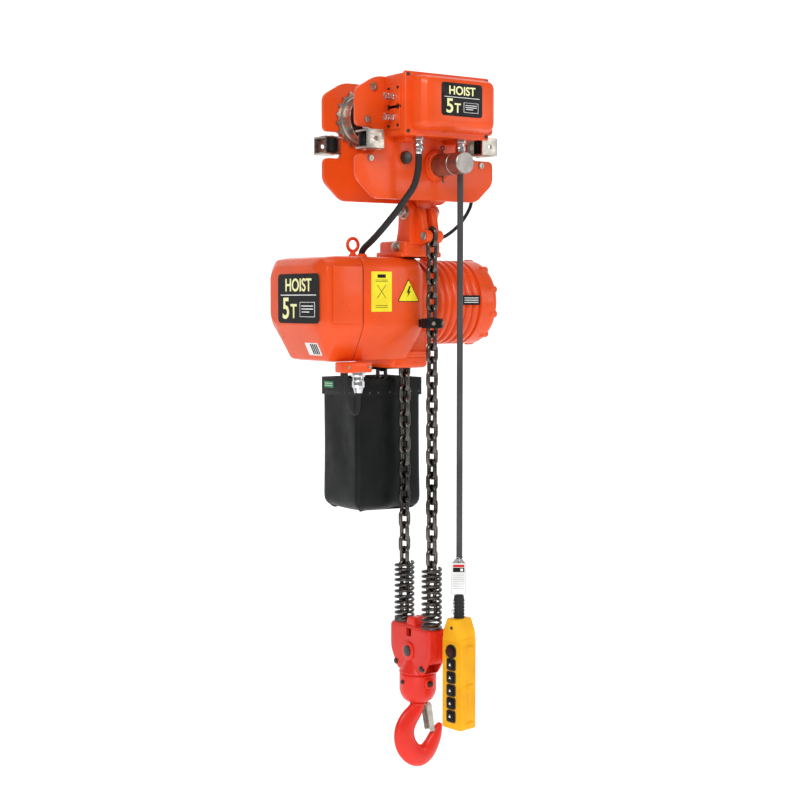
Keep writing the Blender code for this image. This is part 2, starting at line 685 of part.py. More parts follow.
def gear_case():
    body = plate("case", body_outline(), "X", CASE_LEFT_X + GAP, CASE_RIGHT_X)
    length = NECK_RIGHT_X - CASE_RIGHT_X + 0.01
    neck = cylinder("neck", (CASE_RIGHT_X - 0.01, BODY_Y, BODY_Z), "X", NECK_RADIUS, length, 40)
    chute = box("chute", (-0.064, 0.028, CHUTE_BOTTOM_Z), (0.055, 0.215, BODY_BOTTOM_Z + 0.080), 0.012)
    body = joined(body, neck, chute)
    inside = body_outline(CASE_WALL, 0.040)
    hollow = plate("hollow", inside, "X", CASE_LEFT_X - 0.01, CASE_RIGHT_X - CASE_WALL)
    bay = cylinder("bay", (-0.02, BODY_Y, BODY_Z), "X", 0.108, NECK_RIGHT_X - CASE_WALL + 0.02, 32)
    shaft_way = cylinder("shaft_way", (0, BODY_Y, BODY_Z), "X", 0.022, 0.1, 20)
    live_way = box("live_way", (-0.024, FALL_Y - 0.024, -0.70), (0.024, FALL_Y + 0.024, BODY_Z - 0.06))
    slack_y = 2 * BODY_Y - FALL_Y
    slack_way = box("slack_way", (-0.024, slack_y - 0.024, -0.70), (0.024, slack_y + 0.024, BODY_Z - 0.06))
    body = cut(body, hollow, bay, shaft_way, live_way, slack_way)
    return finish(body, "gear_case", red_paint(), body_empty("hoist"))


def control_cover():
    body = plate("cover", body_outline(), "X", COVER_LEFT_X, CASE_LEFT_X + 0.1)
    bevel = body.modifiers.new("bevel", "BEVEL")
    bevel.width = 0.020
    bevel.segments = 2
    bevel.limit_method = "ANGLE"
    bevel.angle_limit = radians(60)
    body = baked(body)
    back = box("back", (CASE_LEFT_X - GAP, -1, -2), (1, 1, 1))
    hollow = plate("hollow", body_outline(0.020, 0.040), "X", COVER_LEFT_X + 0.016, CASE_LEFT_X + 0.1)
    return finish(cut(body, back, hollow), "control_cover", red_paint(), body_empty("hoist"))


def control_panel():
    x = CASE_LEFT_X - 0.004
    body = box("panel", (x - 0.003, BODY_Y - 0.100, BODY_Z - 0.080), (x, BODY_Y + 0.100, BODY_Z + 0.070))
    back = x - 0.002
    parts = [
        box("contactor", (x - 0.072, y, BODY_Z - 0.020), (back, y + 0.050, BODY_Z + 0.055))
        for y in (BODY_Y - 0.085, BODY_Y - 0.025, BODY_Y + 0.035)
    ]
    low, high = (x - 0.060, BODY_Y - 0.030, BODY_Z - 0.072), (back, BODY_Y + 0.040, BODY_Z - 0.028)
    parts.append(box("transformer", low, high))
    return finish(joined(body, *parts), "control_panel", black_plastic(), body_empty("hoist"))


def motor_housing():
    outer, ribs = [], 5
    pitch = (MOTOR_RIGHT_X - NECK_RIGHT_X) / ribs
    for i in range(ribs):
        left = NECK_RIGHT_X + GAP + i * pitch
        outer += [(MOTOR_RADIUS, left), (MOTOR_RADIUS, left + pitch * 0.55)]
        outer += [(MOTOR_RADIUS - 0.006, left + pitch * 0.65), (MOTOR_RADIUS - 0.006, left + pitch * 0.90)]
    outer[-1] = (MOTOR_RADIUS - 0.006, MOTOR_RIGHT_X)
    bore = 0.064
    profile = [(bore, MOTOR_RIGHT_X), *reversed(outer), (bore, NECK_RIGHT_X + GAP)]
    body = turned("motor", profile, (0, BODY_Y, BODY_Z), "X", 24, closed=True)
    x, y, z = MOTOR_LEAD_ROUTE[-1]
    gland = cylinder("gland", (x, y, z - GAP - 0.044), "Z", 0.010, 0.044, 16)
    body = joined(body, gland)
    return finish(body, "motor_housing", red_paint(), body_empty("hoist"))


def motor_end_cap():
    left, right = MOTOR_RIGHT_X + GAP, CAP_RIGHT_X
    profile = [
        (0, right), (0.070, right - 0.002), (0.098, right - 0.012), (MOTOR_RADIUS, right - 0.034),
        (MOTOR_RADIUS, left), (0.104, left), (0.104, right - 0.034), (0.080, right - 0.016),
        (0, right - 0.010),
    ]
    body = turned("cap", profile, (0, BODY_Y, BODY_Z), "X", 24)
    return finish(body, "motor_end_cap", red_paint(), body_empty("hoist"))


def rotor():
    """Rotor shaft with its core, the pinion at the gear end and the cooling fan at the other."""
    hub_left = MOTOR_RIGHT_X + 0.004
    core_left, core_right, end = NECK_RIGHT_X + 0.035, MOTOR_RIGHT_X - 0.030, hub_left + 0.024
    profile = [
        (0, end), (0.010, end), (0.010, core_right), (0.060, core_right), (0.060, core_left),
        (0.010, core_left), (0.010, -0.120), (0.022, -0.120), (0.022, -0.150), (0.010, -0.150), (0.010, -0.170), (0, -0.170),
    ]
    body = turned("rotor", profile, (0, BODY_Y, BODY_Z), "X", 16)
    disc = cylinder("disc", (hub_left, BODY_Y, BODY_Z), "X", 0.080, 0.006, 24)
    blades = []
    for i in range(6):
        blade = box("blade", (hub_left + 0.004, 0.016, -0.002), (hub_left + 0.016, 0.076, 0.002))
        blade.matrix_world = Matrix.Translation((0, BODY_Y, BODY_Z)) @ Matrix.Rotation(i * pi / 3, 4, "X")
        bpy.context.view_layer.update()
        blades.append(baked(blade))
    body = joined(body, disc, *blades)
    return finish(body, "rotor", steel(), body_empty("rotor", (0, BODY_Y, BODY_Z)))


def load_sheave():
    """The grooved chain wheel with its hollow shaft and its gear, round the rotor shaft."""
    rim, groove = LOAD_SHEAVE_RADIUS + 0.007, LOAD_SHEAVE_RADIUS - 0.011
    profile = [
        (0.012, 0.030), (0.030, 0.030), (rim, 0.022), (rim, 0.010), (groove, 0.006), (groove, -0.006),
        (rim, -0.010), (rim, -0.022), (0.030, -0.030), (0.030, -0.080), (0.012, -0.080),
    ]
    body = turned("sheave", profile, (0, BODY_Y, BODY_Z), "X", 24, closed=True)
    teeth = plate("teeth", gear_outline((BODY_Y, BODY_Z), 18, 0.078, 0.086), "X", -0.102, -0.078)
    hole = cylinder("hole", (-0.2, BODY_Y, BODY_Z), "X", 0.012, 0.3, 24)
    body = joined(body, cut(teeth, hole))
    return finish(body, "load_sheave", dark_steel(), body_empty("load_sheave", (0, BODY_Y, BODY_Z)))


def chain_guide():
    front = BODY_Y - BODY_HALF_WIDTH - GAP
    body = box("lug", (-0.022, -FALL_Y - 0.020, -0.482), (0.022, front, -0.456), 0.003)
    ring = cylinder("ring", (0, -FALL_Y, -0.482), "Z", 0.029, 0.026, 24)
    body = joined(body, ring)
    hole = cylinder("hole", (0, -FALL_Y, -0.6), "Z", 0.0225, 0.2, 24)
    return finish(cut(body, hole), "chain_guide", black_plastic(), body_empty("hoist"))


def limit_switch():
    top = BODY_BOTTOM_Z - GAP
    x, y, z = LIMIT_CABLE_ROUTE[-1]
    body = box("block", (x - 0.051, y - 0.016, top - 0.027), (x + 0.034, y + 0.034, top), 0.003)
    gland = cylinder("gland", (x, y, z + GAP), "Z", 0.008, top - 0.024 - z - GAP, 16, end_radius=0.0115)
    return finish(joined(body, gland), "limit_switch", red_paint(), body_empty("hoist"))


def eye_bolt():
    x, y, z, radius = -0.134, 0.112, BODY_TOP_Z + 0.034, 0.0175
    points = [(x + radius * cos(i * pi / 10), y, z + radius * sin(i * pi / 10)) for i in range(20)]
    ring = tube("ring", points, 0.0045, 1, True)
    collar = cylinder("collar", (x, y, BODY_TOP_Z + GAP), "Z", 0.012, 0.014, 16)
    return finish(joined(ring, collar), "eye_bolt", red_paint(), body_empty("hoist"))


# ---------- chain bag ----------

def chain_bag():
    low = (BAG_LEFT_X, BAG_FRONT_Y, BAG_BOTTOM_Z)
    high = (BAG_RIGHT_X, BAG_BACK_Y, BAG_TOP_Z)
    body = box("bag", low, high, 0.018, 2)
    rim_low = (low[0] - 0.004, low[1] - 0.004, high[2] - 0.048)
    rim = box("rim", rim_low, (high[0] + 0.004, high[1] + 0.004, high[2]))
    body = joined(body, rim)
    hollow = box(
        "hollow", (low[0] + BAG_WALL, low[1] + BAG_WALL, low[2] + 0.010),
        (high[0] - BAG_WALL, high[1] - BAG_WALL, high[2] + 0.05), 0.015, 2,
    )
    body = cut(body, hollow)
    slack_y = 2 * BODY_Y - FALL_Y
    front_y, back_y, strap_top = slack_y - 0.030, slack_y + 0.030, CHUTE_BOTTOM_Z - GAP
    straps = [
        box("strap", (x, front_y, high[2] - 0.030), (x + 0.003, back_y, strap_top))
        for x in (low[0] + 0.0015, high[0] - 0.0045)
    ]
    bar_low = (low[0] + 0.0015, slack_y - 0.030, CHUTE_BOTTOM_Z - 0.007)
    bar = box("bar", bar_low, (high[0] - 0.0015, slack_y - 0.026, CHUTE_BOTTOM_Z - GAP))
    return finish(joined(body, *straps, bar), "chain_bag", bag_fabric(), body_empty("hoist"))


def stored_chain():
    margin = BAG_WALL + 0.010
    body = box(
        "heap", (BAG_LEFT_X + margin, BAG_FRONT_Y + margin, BAG_BOTTOM_Z + 0.011),
        (BAG_RIGHT_X - margin, BAG_BACK_Y - margin, BAG_BOTTOM_Z + 0.130), 0.010,
    )
    return finish(body, "stored_chain", dark_steel(), body_empty("hoist"))


# ---------- chain ----------

def chain_link(place, turned_link):
    """One oval link of round wire, its long way along Z, in the plane of Y or, turned, of X."""
    reach = (CHAIN_WIDTH - CHAIN_WIRE) / 2
    half = CHAIN_PITCH / 2 + CHAIN_WIRE / 2 * cos(pi / LINK_SIDES) - LINK_OVERLAP
    straight = half - reach
    points = []
    for across, along in (
        arc((0, straight), reach, 30, 150, 2) + arc((0, -straight), reach, 210, 330, 2)
    ):
        offset = (across, 0, along) if turned_link else (0, across, along)
        points.append(tuple(p + o for p, o in zip(place, offset)))
    return tube("link", points, CHAIN_WIRE / 2, LINK_SIDES // 2 - 2, True)


def chain_fall(name, y, top, bottom):
    count = int((top - bottom) / CHAIN_PITCH)
    links = [
        chain_link((0, y, top - (i + 0.5) * CHAIN_PITCH), i % 2 == 1)
        for i in range(count)
    ]
    body = joined(links[0], *links[1:])
    return finish(body, name, dark_steel(), body_empty("hoist"))


# ---------- hook block ----------

def hook_body_empty():
    return body_empty("hook_block", (0, 0, BOTTOM_SHEAVE_Z))


def chain_spring(name, y):
    """A coil spring round the chain, standing on the hook block."""
    height = SPRING_TOP_Z - BLOCK_TOP_Z
    wire = 0.0035
    steps = 10
    rise = (height - 2 * wire - 2 * GAP) / (SPRING_TURNS * steps)
    points = []
    for i in range(SPRING_TURNS * steps + 1):
        angle = 2 * pi * i / steps
        radius = SPRING_RADIUS + 0.001
        points.append((radius * cos(angle), y + radius * sin(angle), BLOCK_TOP_Z + GAP + wire + i * rise))
    return finish(tube(name, points, wire, 0), name, dark_steel(), hook_body_empty())


def block_half(name, side):
    low, high = sorted((side * GAP / 2, side * BLOCK_HALF_THICKNESS))
    waist = HOLDER_RADIUS + 0.004
    shoulder_z = BLOCK_TOP_Z - 0.069
    outline = [
        (-BLOCK_HALF_WIDTH, BLOCK_TOP_Z), (-BLOCK_HALF_WIDTH, shoulder_z), (-waist, HOLDER_TOP_Z + GAP),
        (waist, HOLDER_TOP_Z + GAP), (BLOCK_HALF_WIDTH, shoulder_z), (BLOCK_HALF_WIDTH, BLOCK_TOP_Z),
        (0.030, BLOCK_TOP_Z), (0.018, BLOCK_TOP_Z + 0.022), (-0.018, BLOCK_TOP_Z + 0.022),
        (-0.030, BLOCK_TOP_Z),
    ]
    body = plate(name, outline, "X", low, high)
    pocket = cylinder("pocket", (-0.020, 0, BOTTOM_SHEAVE_Z), "X", BOTTOM_SHEAVE_RADIUS + 0.004, 0.040, 32)
    wells = [cylinder("well", (0, y, BLOCK_TOP_Z - 0.062), "Z", 0.0205, 0.1, 20) for y in (-FALL_Y, FALL_Y)]
    body = cut(body, pocket, *wells)
    if side < 0:
        body = joined(body, cylinder("pin", (-0.022, 0, BOTTOM_SHEAVE_Z), "X", 0.010, 0.0415, 20))
    return finish(body, name, hook_red(), hook_body_empty())


def bottom_sheave():
    rim, groove, half = BOTTOM_SHEAVE_RADIUS, BOTTOM_SHEAVE_RADIUS - 0.016, 0.019
    profile = [
        (0.0105, half), (rim, half), (rim, 0.010), (groove, 0.006), (groove, -0.006), (rim, -0.010),
        (rim, -half), (0.0105, -half),
    ]
    body = turned("sheave", profile, (0, 0, BOTTOM_SHEAVE_Z), "X", 22, closed=True)
    return finish(body, "bottom_sheave", dark_steel(), body_empty("bottom_sheave", (0, 0, BOTTOM_SHEAVE_Z)))


def hook_holder():
    """The round swivel housing under the two shells, hollow for the hook's collar and nut."""
    top, bottom, r, bore = HOLDER_TOP_Z, HOLDER_BOTTOM_Z, HOLDER_RADIUS, SHANK_RADIUS + 0.001
    profile = [
        (bore, top), (r, top), (r, bottom + 0.024), (r - 0.016, bottom), (bore, bottom),
        (bore, bottom + 0.012), (0.034, bottom + 0.012), (0.034, top - 0.010), (bore, top - 0.010),
    ]
    body = turned("holder", profile, (0, 0, 0), "Z", 22, closed=True)
    return finish(body, "hook_holder", hook_red(), hook_body_empty())


def hook():
    """Shank, collar in the holder, and the bowl, which opens toward +X."""
    neck_z = HOLDER_BOTTOM_Z - 0.004
    outline = [(SHANK_RADIUS - 0.002, neck_z), *HOOK_OUTLINE, (0.002 - SHANK_RADIUS, neck_z)]
    bowl = plate("bowl", outline, "Y", -HOOK_HALF_THICKNESS, HOOK_HALF_THICKNESS)
    bevel = bowl.modifiers.new("bevel", "BEVEL")
    bevel.width = 0.007
    bevel.segments = 1
    bevel.limit_method = "ANGLE"
    bevel.angle_limit = radians(60)
    bowl = baked(bowl)
    length = HOLDER_TOP_Z - 0.015 - HOLDER_BOTTOM_Z
    shank = cylinder("shank", (0, 0, HOLDER_BOTTOM_Z - 0.012), "Z", SHANK_RADIUS - 0.002, length, 20)
    collar = cylinder("collar", (0, 0, HOLDER_BOTTOM_Z + 0.013), "Z", 0.032, 0.040, 24)
    body = joined(bowl, shank, collar)
    return finish(body, "hook", hook_red(), body_empty("hook", (0, 0, HOLDER_BOTTOM_Z)))


def hook_latch():
    """The spring latch: a bent strip on the shank's open side that closes the bowl's mouth."""
    body = plate("latch", LATCH_OUTLINE, "Y", -0.015, 0.015)
    return finish(body, "hook_latch", steel(), body_empty("hook_latch", LATCH_PIVOT))


# ---------- pendant ----------

def pendant_frame():
    """Turns the pendant's own axes, with its buttons on local -Y, to where it faces."""
    return Matrix.Translation((PENDANT_X, PENDANT_Y, 0)) @ Matrix.Rotation(PENDANT_TURN, 4, "Z")


def turned_to_pendant(obj):
    obj.matrix_world = pendant_frame()
    bpy.context.view_layer.update()
    return baked(obj)


def button_places():
    places = {"stop_button": (STOP_Z, STOP_RADIUS)}
    for i, name in enumerate(("up", "down", "east", "west", "start")):
        places[f"{name}_button"] = (STOP_Z - (i + 1) * BUTTON_PITCH, BUTTON_RADIUS)
    return places


def pendant_housing():
    w, d = PENDANT_HALF_WIDTH, PENDANT_HALF_DEPTH
    top, bottom = PENDANT_TOP_Z, PENDANT_BOTTOM_Z
    outline = [
        (-w, bottom), (w, bottom), (w, top - 0.040), (0.018, top), (-0.018, top), (-w, top - 0.040),
    ]
    body = plate("housing", outline, "Y", -d, d)
    boot = cylinder("boot", (0, 0, top - 0.004), "Z", 0.0135, 0.064, 16)
    body = joined(body, boot)
    pockets = [
        cylinder("pocket", (0, -d - 0.01, z), "Y", radius + 0.001, 0.026, 20)
        for z, radius in button_places().values()
    ]
    cable_way = cylinder("cable_way", (0, 0, top + 0.020), "Z", CABLE_RADIUS + GAP, 0.05, 12)
    body = turned_to_pendant(cut(body, *pockets, cable_way))
    empty = body_empty("pendant", (PENDANT_X, PENDANT_Y, BOX_BOTTOM_Z - GLAND_LENGTH))
    return finish(body, "pendant_housing", yellow_plastic(), empty)


def pendant_button(name, z, radius):
    depth = PENDANT_HALF_DEPTH
    profile = [
        (0, -depth + 0.0095), (radius, -depth + 0.0095), (radius, -depth - 0.004),
        (radius - 0.002, -depth - 0.006), (0, -depth - 0.006),
    ]
    body = turned_to_pendant(turned(name, profile, (0, 0, z), "Y", 20))
    return finish(body, name, black_plastic(), body_empty(name, (PENDANT_X, PENDANT_Y, z)))


def pendant_cable():
    top = BOX_BOTTOM_Z - GLAND_LENGTH - CABLE_DROP
    bottom = PENDANT_TOP_Z + 0.020 + 2 * GAP
    count = 40
    points = [(PENDANT_X, PENDANT_Y, top + (bottom - top) * i / count) for i in range(count + 1)]
    cable = tube("cable", points, CABLE_RADIUS, 1)
    return finish(cable, "pendant_cable", black_rubber(), body_empty("pendant"))


def leads():
    box_lead = tube("lead", BOX_LEAD_ROUTE, LEAD_RADIUS, 1)
    finish(box_lead, "hoist_lead", black_rubber(), ROOT)
    motor_lead = tube("lead", MOTOR_LEAD_ROUTE, THIN_LEAD_RADIUS, 1)
    finish(motor_lead, "motor_lead", black_rubber(), ROOT)
    limit_cable = tube("lead", LIMIT_CABLE_ROUTE, 0.0055, 1)
    finish(limit_cable, "limit_cable", black_rubber(), body_empty("hoist"))


ROOT = body_empty("trolley")


def build_trolley():
    for side in SIDES:
        side_plate(side)
        for end in WHEEL_XS:
            wheel(side, end)
            guide_bracket(side, end)
            guide_roller(side, end)
    suspension_shaft()
    drive_pinion()
    drive_gearbox()
    drive_motor()
    control_box()
    control_box_lid()
    trolley_contactors()
    box_gland("hoist_lead_gland", BOX_LEAD_ROUTE[0][0])
    box_gland("pendant_gland", PENDANT_X)


def build_hoist():
    body_empty("hoist", (0, 0, LIFTING_BOLT_Z))
    suspender()
    lifting_bolt()
    suspension_yoke()
    anchor_pin()
    gear_case()
    control_cover()
    control_panel()
    motor_housing()
    motor_end_cap()
    rotor()
    load_sheave()
    chain_guide()
    limit_switch()
    eye_bolt()
    chain_bag()
    stored_chain()


def build_hook_block():
    chain_fall("live_chain", FALL_Y, LIVE_TOP_Z, BLOCK_TOP_Z)
    chain_fall("anchor_chain", -FALL_Y, ANCHOR_TOP_Z, BLOCK_TOP_Z)
    block_half("block_shell_left", -1)
    block_half("block_shell_right", 1)
    bottom_sheave()
    chain_spring("chain_spring_live", FALL_Y)
    chain_spring("chain_spring_anchor", -FALL_Y)
    hook_holder()
    hook()
    hook_latch()


def build_pendant():
    pendant_housing()
    for name, (z, radius) in button_places().items():
        pendant_button(name, z, radius)
    pendant_cable()


build_trolley()
build_hoist()
build_hook_block()
build_pendant()
leads()
bpy.data.collections.remove(SCRAP)
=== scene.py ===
"""The looks of the electric chain hoist: detailed pieces on the fixed frame, materials, light and camera."""

import json
from math import cos, pi, radians, sin

import bmesh
import bpy
from mathutils import Matrix, Vector

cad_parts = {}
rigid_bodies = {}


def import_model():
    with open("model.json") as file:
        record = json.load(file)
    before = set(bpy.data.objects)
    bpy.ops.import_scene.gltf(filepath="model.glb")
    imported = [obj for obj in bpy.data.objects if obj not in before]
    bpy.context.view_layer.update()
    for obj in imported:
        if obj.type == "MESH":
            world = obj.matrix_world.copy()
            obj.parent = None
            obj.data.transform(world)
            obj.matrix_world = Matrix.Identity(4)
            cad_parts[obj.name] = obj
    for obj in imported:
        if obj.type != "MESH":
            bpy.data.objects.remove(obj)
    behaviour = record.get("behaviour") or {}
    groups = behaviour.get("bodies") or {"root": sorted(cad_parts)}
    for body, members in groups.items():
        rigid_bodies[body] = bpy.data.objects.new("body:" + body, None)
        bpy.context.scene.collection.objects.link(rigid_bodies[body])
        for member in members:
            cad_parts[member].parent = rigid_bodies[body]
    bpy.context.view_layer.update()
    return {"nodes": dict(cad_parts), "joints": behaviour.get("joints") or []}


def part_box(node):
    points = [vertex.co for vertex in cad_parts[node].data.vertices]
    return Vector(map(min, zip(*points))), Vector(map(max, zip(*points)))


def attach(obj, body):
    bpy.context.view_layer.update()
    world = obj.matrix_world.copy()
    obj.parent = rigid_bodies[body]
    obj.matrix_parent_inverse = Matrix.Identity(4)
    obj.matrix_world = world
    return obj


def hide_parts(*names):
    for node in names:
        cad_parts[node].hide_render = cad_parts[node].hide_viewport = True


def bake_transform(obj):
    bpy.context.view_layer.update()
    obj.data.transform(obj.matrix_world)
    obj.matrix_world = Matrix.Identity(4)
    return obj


for leftover in list(bpy.data.objects):
    bpy.data.objects.remove(leftover, do_unlink=True)

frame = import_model()


def middle(node):
    low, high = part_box(node)
    return (low + high) / 2


SHAFT_LOW, SHAFT_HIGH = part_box("suspension_shaft")
SHAFT_RADIUS = (SHAFT_HIGH.x - SHAFT_LOW.x) / 2
SHAFT_Z = middle("suspension_shaft").z
BODY_Y = middle("motor_end_cap").y
BODY_Z = middle("motor_end_cap").z
COVER_LOW, COVER_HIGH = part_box("control_cover")
CAP_LOW, CAP_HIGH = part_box("motor_end_cap")
MOTOR_LOW, MOTOR_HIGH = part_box("motor_housing")
BLOCK_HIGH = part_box("block_shell_right")[1]
HOLDER_LOW, HOLDER_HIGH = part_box("hook_holder")
BAG_LOW, BAG_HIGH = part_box("chain_bag")
FALL_Y = middle("chain_spring_live").y
CHAIN_PITCH = 0.034
CHAIN_WIRE = 0.0112
CHAIN_WIDTH = 0.037
CORD_SIDES = 6
HOIST_LEAD_RADIUS = 0.0085
MOTOR_LEAD_RADIUS = 0.0050
LIMIT_CABLE_RADIUS = 0.0055
PENDANT_CABLE_RADIUS = 0.008
CAMERA_TURN = radians(-35)
CAMERA_TILT = radians(3.81)
CAMERA_PLACE = (-2.334, -3.249, -0.408)
CAMERA_LENS = 67.5
LIFT_DOWN, LIFT_UP = next(j["range_m"] for j in frame["joints"] if j["name"] == "hook_lift")

TURNED_FRAMES = {
    "X": Matrix(((0, 0, 1), (1, 0, 0), (0, 1, 0))),
    "Y": Matrix(((0, 1, 0), (0, 0, 1), (1, 0, 0))),
    "Z": Matrix.Identity(3),
}
OUTLINE_FRAMES = {
    "X": Matrix(((0, 0, 1), (1, 0, 0), (0, 1, 0))),
    "Y": Matrix(((1, 0, 0), (0, 0, -1), (0, 1, 0))),
    "Z": Matrix.Identity(3),
}


# ---------- shapes ----------

def new_object(name, data):
    obj = bpy.data.objects.new(name, data)
    bpy.context.scene.collection.objects.link(obj)
    return obj


def baked(obj):
    """The evaluated shape in the row frame, as a plain mesh that takes the object's place."""
    bpy.context.view_layer.update()
    graph = bpy.context.evaluated_depsgraph_get()
    mesh = bpy.data.meshes.new_from_object(obj.evaluated_get(graph))
    mesh.transform(obj.matrix_world)
    work = bmesh.new()
    work.from_mesh(mesh)
    bmesh.ops.remove_doubles(work, verts=work.verts, dist=1e-6)
    bmesh.ops.recalc_face_normals(work, faces=work.faces)
    work.to_mesh(mesh)
    work.free()
    name = obj.name
    bpy.data.objects.remove(obj)
    return new_object(name, mesh)


def from_bmesh(name, work):
    mesh = bpy.data.meshes.new(name)
    work.to_mesh(mesh)
    work.free()
    return new_object(name, mesh)


def bevelled(obj, width, segments=3, angle=30):
    bevel = obj.modifiers.new("bevel", "BEVEL")
    bevel.width = width
    bevel.segments = segments
    bevel.limit_method = "ANGLE"
    bevel.angle_limit = radians(angle)
    bevel.use_clamp_overlap = True
    return baked(obj)


def box(name, low, high, edge=0.0, segments=3):
    work = bmesh.new()
    bmesh.ops.create_cube(work, size=1.0)
    bmesh.ops.scale(work, vec=Vector(high) - Vector(low), verts=work.verts)
    bmesh.ops.translate(work, vec=(Vector(high) + Vector(low)) / 2, verts=work.verts)
    obj = from_bmesh(name, work)
    return bevelled(obj, edge, segments) if edge else obj


def cylinder(name, start, axis, radius, length, edge=0.0, sides=48, end_radius=None):
    work = bmesh.new()
    top = radius if end_radius is None else end_radius
    bmesh.ops.create_cone(work, cap_ends=True, segments=sides, radius1=radius, radius2=top, depth=length)
    bmesh.ops.translate(work, vec=(0, 0, length / 2), verts=work.verts)
    bmesh.ops.rotate(work, matrix=TURNED_FRAMES[axis], verts=work.verts)
    bmesh.ops.translate(work, vec=start, verts=work.verts)
    obj = from_bmesh(name, work)
    return bevelled(obj, edge, 2, 50 if sides > 8 else 30) if edge else obj


def turned(name, profile, origin, axis, steps=64, closed=False):
    mesh = bpy.data.meshes.new(name)
    edges = [(i, i + 1) for i in range(len(profile) - 1)]
    if closed:
        edges.append((len(profile) - 1, 0))
    mesh.from_pydata([(radius, 0.0, height) for radius, height in profile], edges, [])
    obj = new_object(name, mesh)
    screw = obj.modifiers.new("turn", "SCREW")
    screw.axis = "Z"
    screw.steps = steps
    screw.render_steps = steps
    screw.use_merge_vertices = True
    screw.merge_threshold = 0.00001
    obj.matrix_world = Matrix.Translation(origin) @ TURNED_FRAMES[axis].to_4x4()
    return baked(obj)


def arc(centre, radius, start, end, count):
    angles = [radians(start + (end - start) * i / count) for i in range(count + 1)]
    return [(centre[0] + radius * cos(a), centre[1] + radius * sin(a)) for a in angles]


def rounded(points, radius, count=5):
    """The outline with every corner turned into a short curve that starts radius before it."""
    result = []
    for i, point in enumerate(points):
        here = Vector(point)
        before = Vector(points[i - 1]) - here
        after = Vector(points[(i + 1) % len(points)]) - here
        reach = min(radius, before.length * 0.45, after.length * 0.45)
        start, end = here + before.normalized() * reach, here + after.normalized() * reach
        for step in range(count + 1):
            t = step / count
            place = start * (1 - t) ** 2 + here * 2 * t * (1 - t) + end * t ** 2
            result.append((place.x, place.y))
    return result


def slab(name, outline, axis, start, end, edge=0.0, segments=3, holes=()):
    """A flat outline, given as its two row-frame coordinates in X, Y, Z order, from start to end on axis."""
    curve = bpy.data.curves.new(name, "CURVE")
    curve.dimensions = "2D"
    curve.fill_mode = "BOTH"
    curve.extrude = abs(end - start) / 2
    for loop in (outline, *holes):
        spline = curve.splines.new("POLY")
        spline.points.add(len(loop) - 1)
        for point, (first, second) in zip(spline.points, loop):
            point.co = (first, second, 0, 1)
        spline.use_cyclic_u = True
    obj = new_object(name, curve)
    centre = Vector([(start + end) / 2 if letter == axis else 0 for letter in "XYZ"])
    obj.matrix_world = Matrix.Translation(centre) @ OUTLINE_FRAMES[axis].to_4x4()
    obj = baked(obj)
    work = bmesh.new()
    work.from_mesh(obj.data)
    bmesh.ops.dissolve_limit(work, angle_limit=radians(1), verts=work.verts, edges=work.edges)
    work.to_mesh(obj.data)
    work.free()
    return bevelled(obj, edge, segments, 60) if edge else obj


def loft(name, sections, axis="X"):
    """A skin over outlines of equal length, each (place along axis, outline), with its two ends filled."""
    work = bmesh.new()
    loops = []
    for place, outline in sections:
        verts = [work.verts.new(OUTLINE_FRAMES[axis] @ Vector((a, b, 0))) for a, b in outline]
        shift = Vector([place if letter == axis else 0 for letter in "XYZ"])
        bmesh.ops.translate(work, vec=shift, verts=verts)
        loops.append([work.edges.new((verts[i], verts[(i + 1) % len(verts)])) for i in range(len(verts))])
    for first, second in zip(loops, loops[1:]):
        bmesh.ops.bridge_loops(work, edges=first + second)
    for loop in (loops[0], loops[-1]):
        bmesh.ops.edgeloop_fill(work, edges=loop)
    bmesh.ops.recalc_face_normals(work, faces=work.faces)
    return from_bmesh(name, work)


def tube(name, points, radius, resolution=6, cyclic=False):
    curve = bpy.data.curves.new(name, "CURVE")
    curve.dimensions = "3D"
    curve.bevel_depth = radius
    curve.bevel_resolution = resolution
    curve.use_fill_caps = not cyclic
    spline = curve.splines.new("POLY")
    spline.points.add(len(points) - 1)
    for point, place in zip(spline.points, points):
        point.co = (*place, 1)
    spline.use_cyclic_u = cyclic
    return baked(new_object(name, curve))


def flowing(points, between=5):
    """A Catmull-Rom line through the points."""
    places = [Vector(p) for p in points]
    places = [places[0] * 2 - places[1], *places, places[-1] * 2 - places[-2]]
    line = []
    for a, b, c, d in zip(places, places[1:], places[2:], places[3:]):
        for step in range(between):
            t = step / between
            line.append(
                0.5 * (2 * b + (c - a) * t + (2 * a - 5 * b + 4 * c - d) * t ** 2
                    + (3 * b - a - 3 * c + d) * t ** 3)
            )
    return [*line, places[-2]]


def boolean(obj, operation, others):
    for other in others:
        modifier = obj.modifiers.new("boolean", "BOOLEAN")
        modifier.operation = operation
        modifier.object = other
        modifier.solver = "EXACT"
    result = baked(obj)
    for other in others:
        bpy.data.objects.remove(other)
    return result


def cut(obj, *others):
    return boolean(obj, "DIFFERENCE", others)


def together(obj, *others):
    """Several shapes as one mesh, with no Boolean."""
    work = bmesh.new()
    for other in (obj, *others):
        work.from_mesh(other.data)
    work.to_mesh(obj.data)
    work.free()
    for other in others:
        bpy.data.objects.remove(other)
    return obj


def smooth(obj, angle=30):
    obj.data.shade_smooth()
    obj.data.set_sharp_from_angle(angle=radians(angle))
    return obj


def show(obj, name, body, surface, replaced=(), angle=30):
    """Names the finished piece, gives it its material and hangs it on its CAD body."""
    obj.name = name
    obj.data.materials.clear()
    obj.data.materials.append(surface)
    for polygon in obj.data.polygons:
        polygon.material_index = 0
    smooth(obj, angle)
    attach(obj, body)
    if replaced:
        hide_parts(*replaced)
    return obj


# ---------- materials ----------

